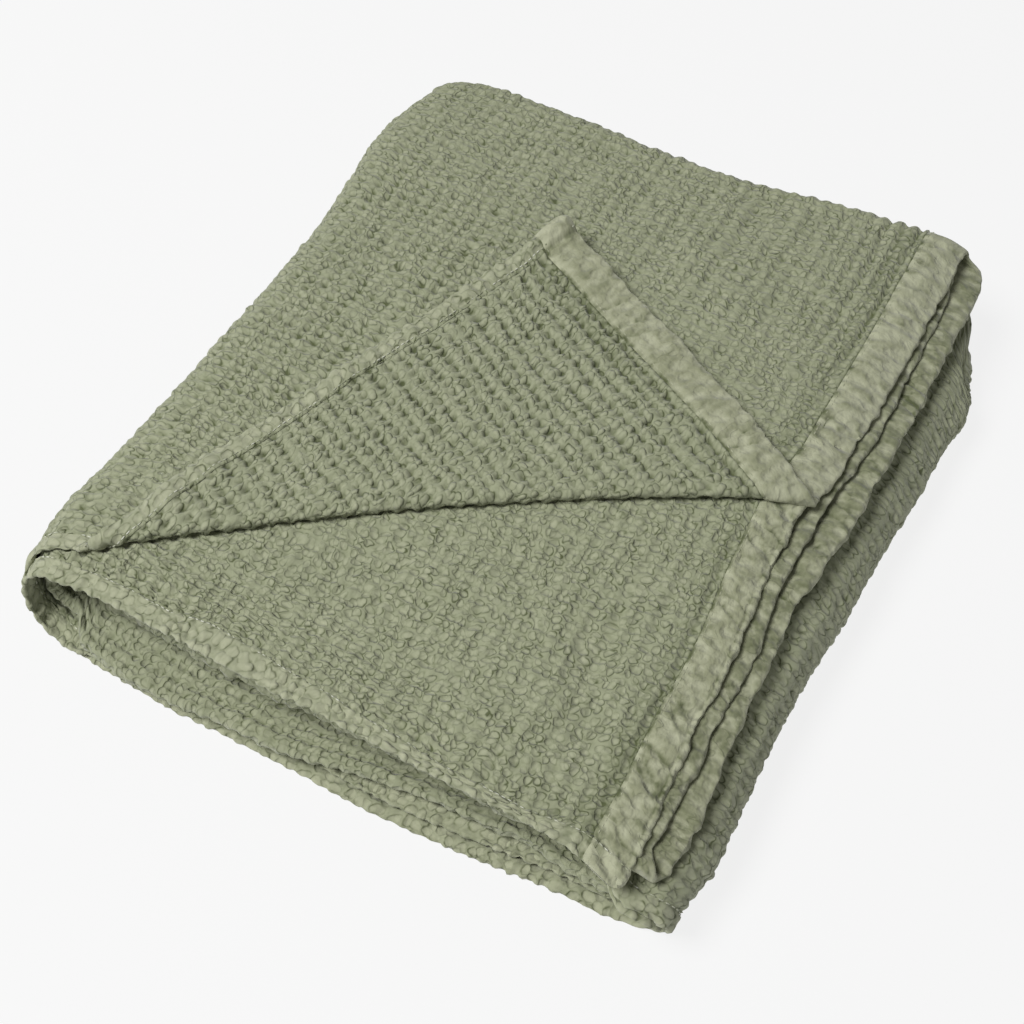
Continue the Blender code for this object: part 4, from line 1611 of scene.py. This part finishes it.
def make_lights(settings):
    """Even light from all round, and one large soft lamp."""
    world = bpy.data.worlds.new("even light")
    world.use_nodes = True
    sky = world.node_tree.nodes["Background"]
    sky.inputs["Color"].default_value = WHITE
    sky.inputs["Strength"].default_value = settings.sky
    bpy.context.scene.world = world
    light = bpy.data.lights.new("key light", "AREA")
    light.shape = "DISK"
    light.size = KEY_SIZE
    light.energy = settings.key_power
    lamp = add_object("key light", light)
    lamp.location = KEY_PLACE
    lamp.rotation_euler = facing(KEY_AIM - KEY_PLACE)


def make_camera():
    """The camera, turned about the stack by its azimuth and elevation."""
    flat = cos(CAMERA_ELEVATION)
    back = Vector((sin(CAMERA_AZIMUTH) * flat, -cos(CAMERA_AZIMUTH) * flat, sin(CAMERA_ELEVATION)))
    data = bpy.data.cameras.new("camera")
    data.lens = CAMERA_LENS
    data.sensor_width = 36.0
    camera = add_object("camera", data)
    camera.location = CAMERA_AIM + back * CAMERA_DISTANCE
    camera.rotation_euler = facing(-back)
    bpy.context.scene.camera = camera


class MAKE_OT_stage(bpy.types.Operator):
    """Makes the floor, the lights and the camera"""

    bl_idname = "waffle_blanket.stage"
    bl_label = "Stage"

    def execute(self, context):
        context.scene.view_settings.view_transform = "Standard"
        make_floor(context.scene.waffle_stage)
        make_lights(context.scene.waffle_stage)
        make_camera()
        return {"FINISHED"}


OPERATORS = (
    MAKE_OT_finishes,
    MAKE_OT_top_ply,
    MAKE_OT_second_ply,
    MAKE_OT_right_fold,
    MAKE_OT_under_plies,
    MAKE_OT_inner_plies,
    MAKE_OT_bindings,
    MAKE_OT_stitches,
    MAKE_OT_stage,
)


class VIEW3D_PT_waffle_blanket(bpy.types.Panel):
    """Lists the pieces"""

    bl_label = "Waffle Blanket"
    bl_space_type = "VIEW_3D"
    bl_region_type = "UI"
    bl_category = "Waffle Blanket"

    def draw(self, context):
        layout = self.layout
        for group in (context.scene.waffle_blanket, context.scene.waffle_stage):
            for name in group.__annotations__:
                layout.prop(group, name)
        for operator in OPERATORS:
            layout.operator(operator.bl_idname)


CLASSES = (BlanketSettings, StageSettings) + OPERATORS + (VIEW3D_PT_waffle_blanket,)


def register():
    """Adds the operators, the panel and the two groups of settings."""
    for entry in CLASSES:
        bpy.utils.register_class(entry)
    bpy.types.Scene.waffle_blanket = bpy.props.PointerProperty(type=BlanketSettings)
    bpy.types.Scene.waffle_stage = bpy.props.PointerProperty(type=StageSettings)


def unregister():
    """Takes them away again."""
    del bpy.types.Scene.waffle_stage
    del bpy.types.Scene.waffle_blanket
    for entry in reversed(CLASSES):
        bpy.utils.unregister_class(entry)


def main():
    """Makes everything in order."""
    register()
    for operator in OPERATORS:
        group, name = operator.bl_idname.split(".")
        getattr(getattr(bpy.ops, group), name)()


if __name__ == "__main__":
    main()
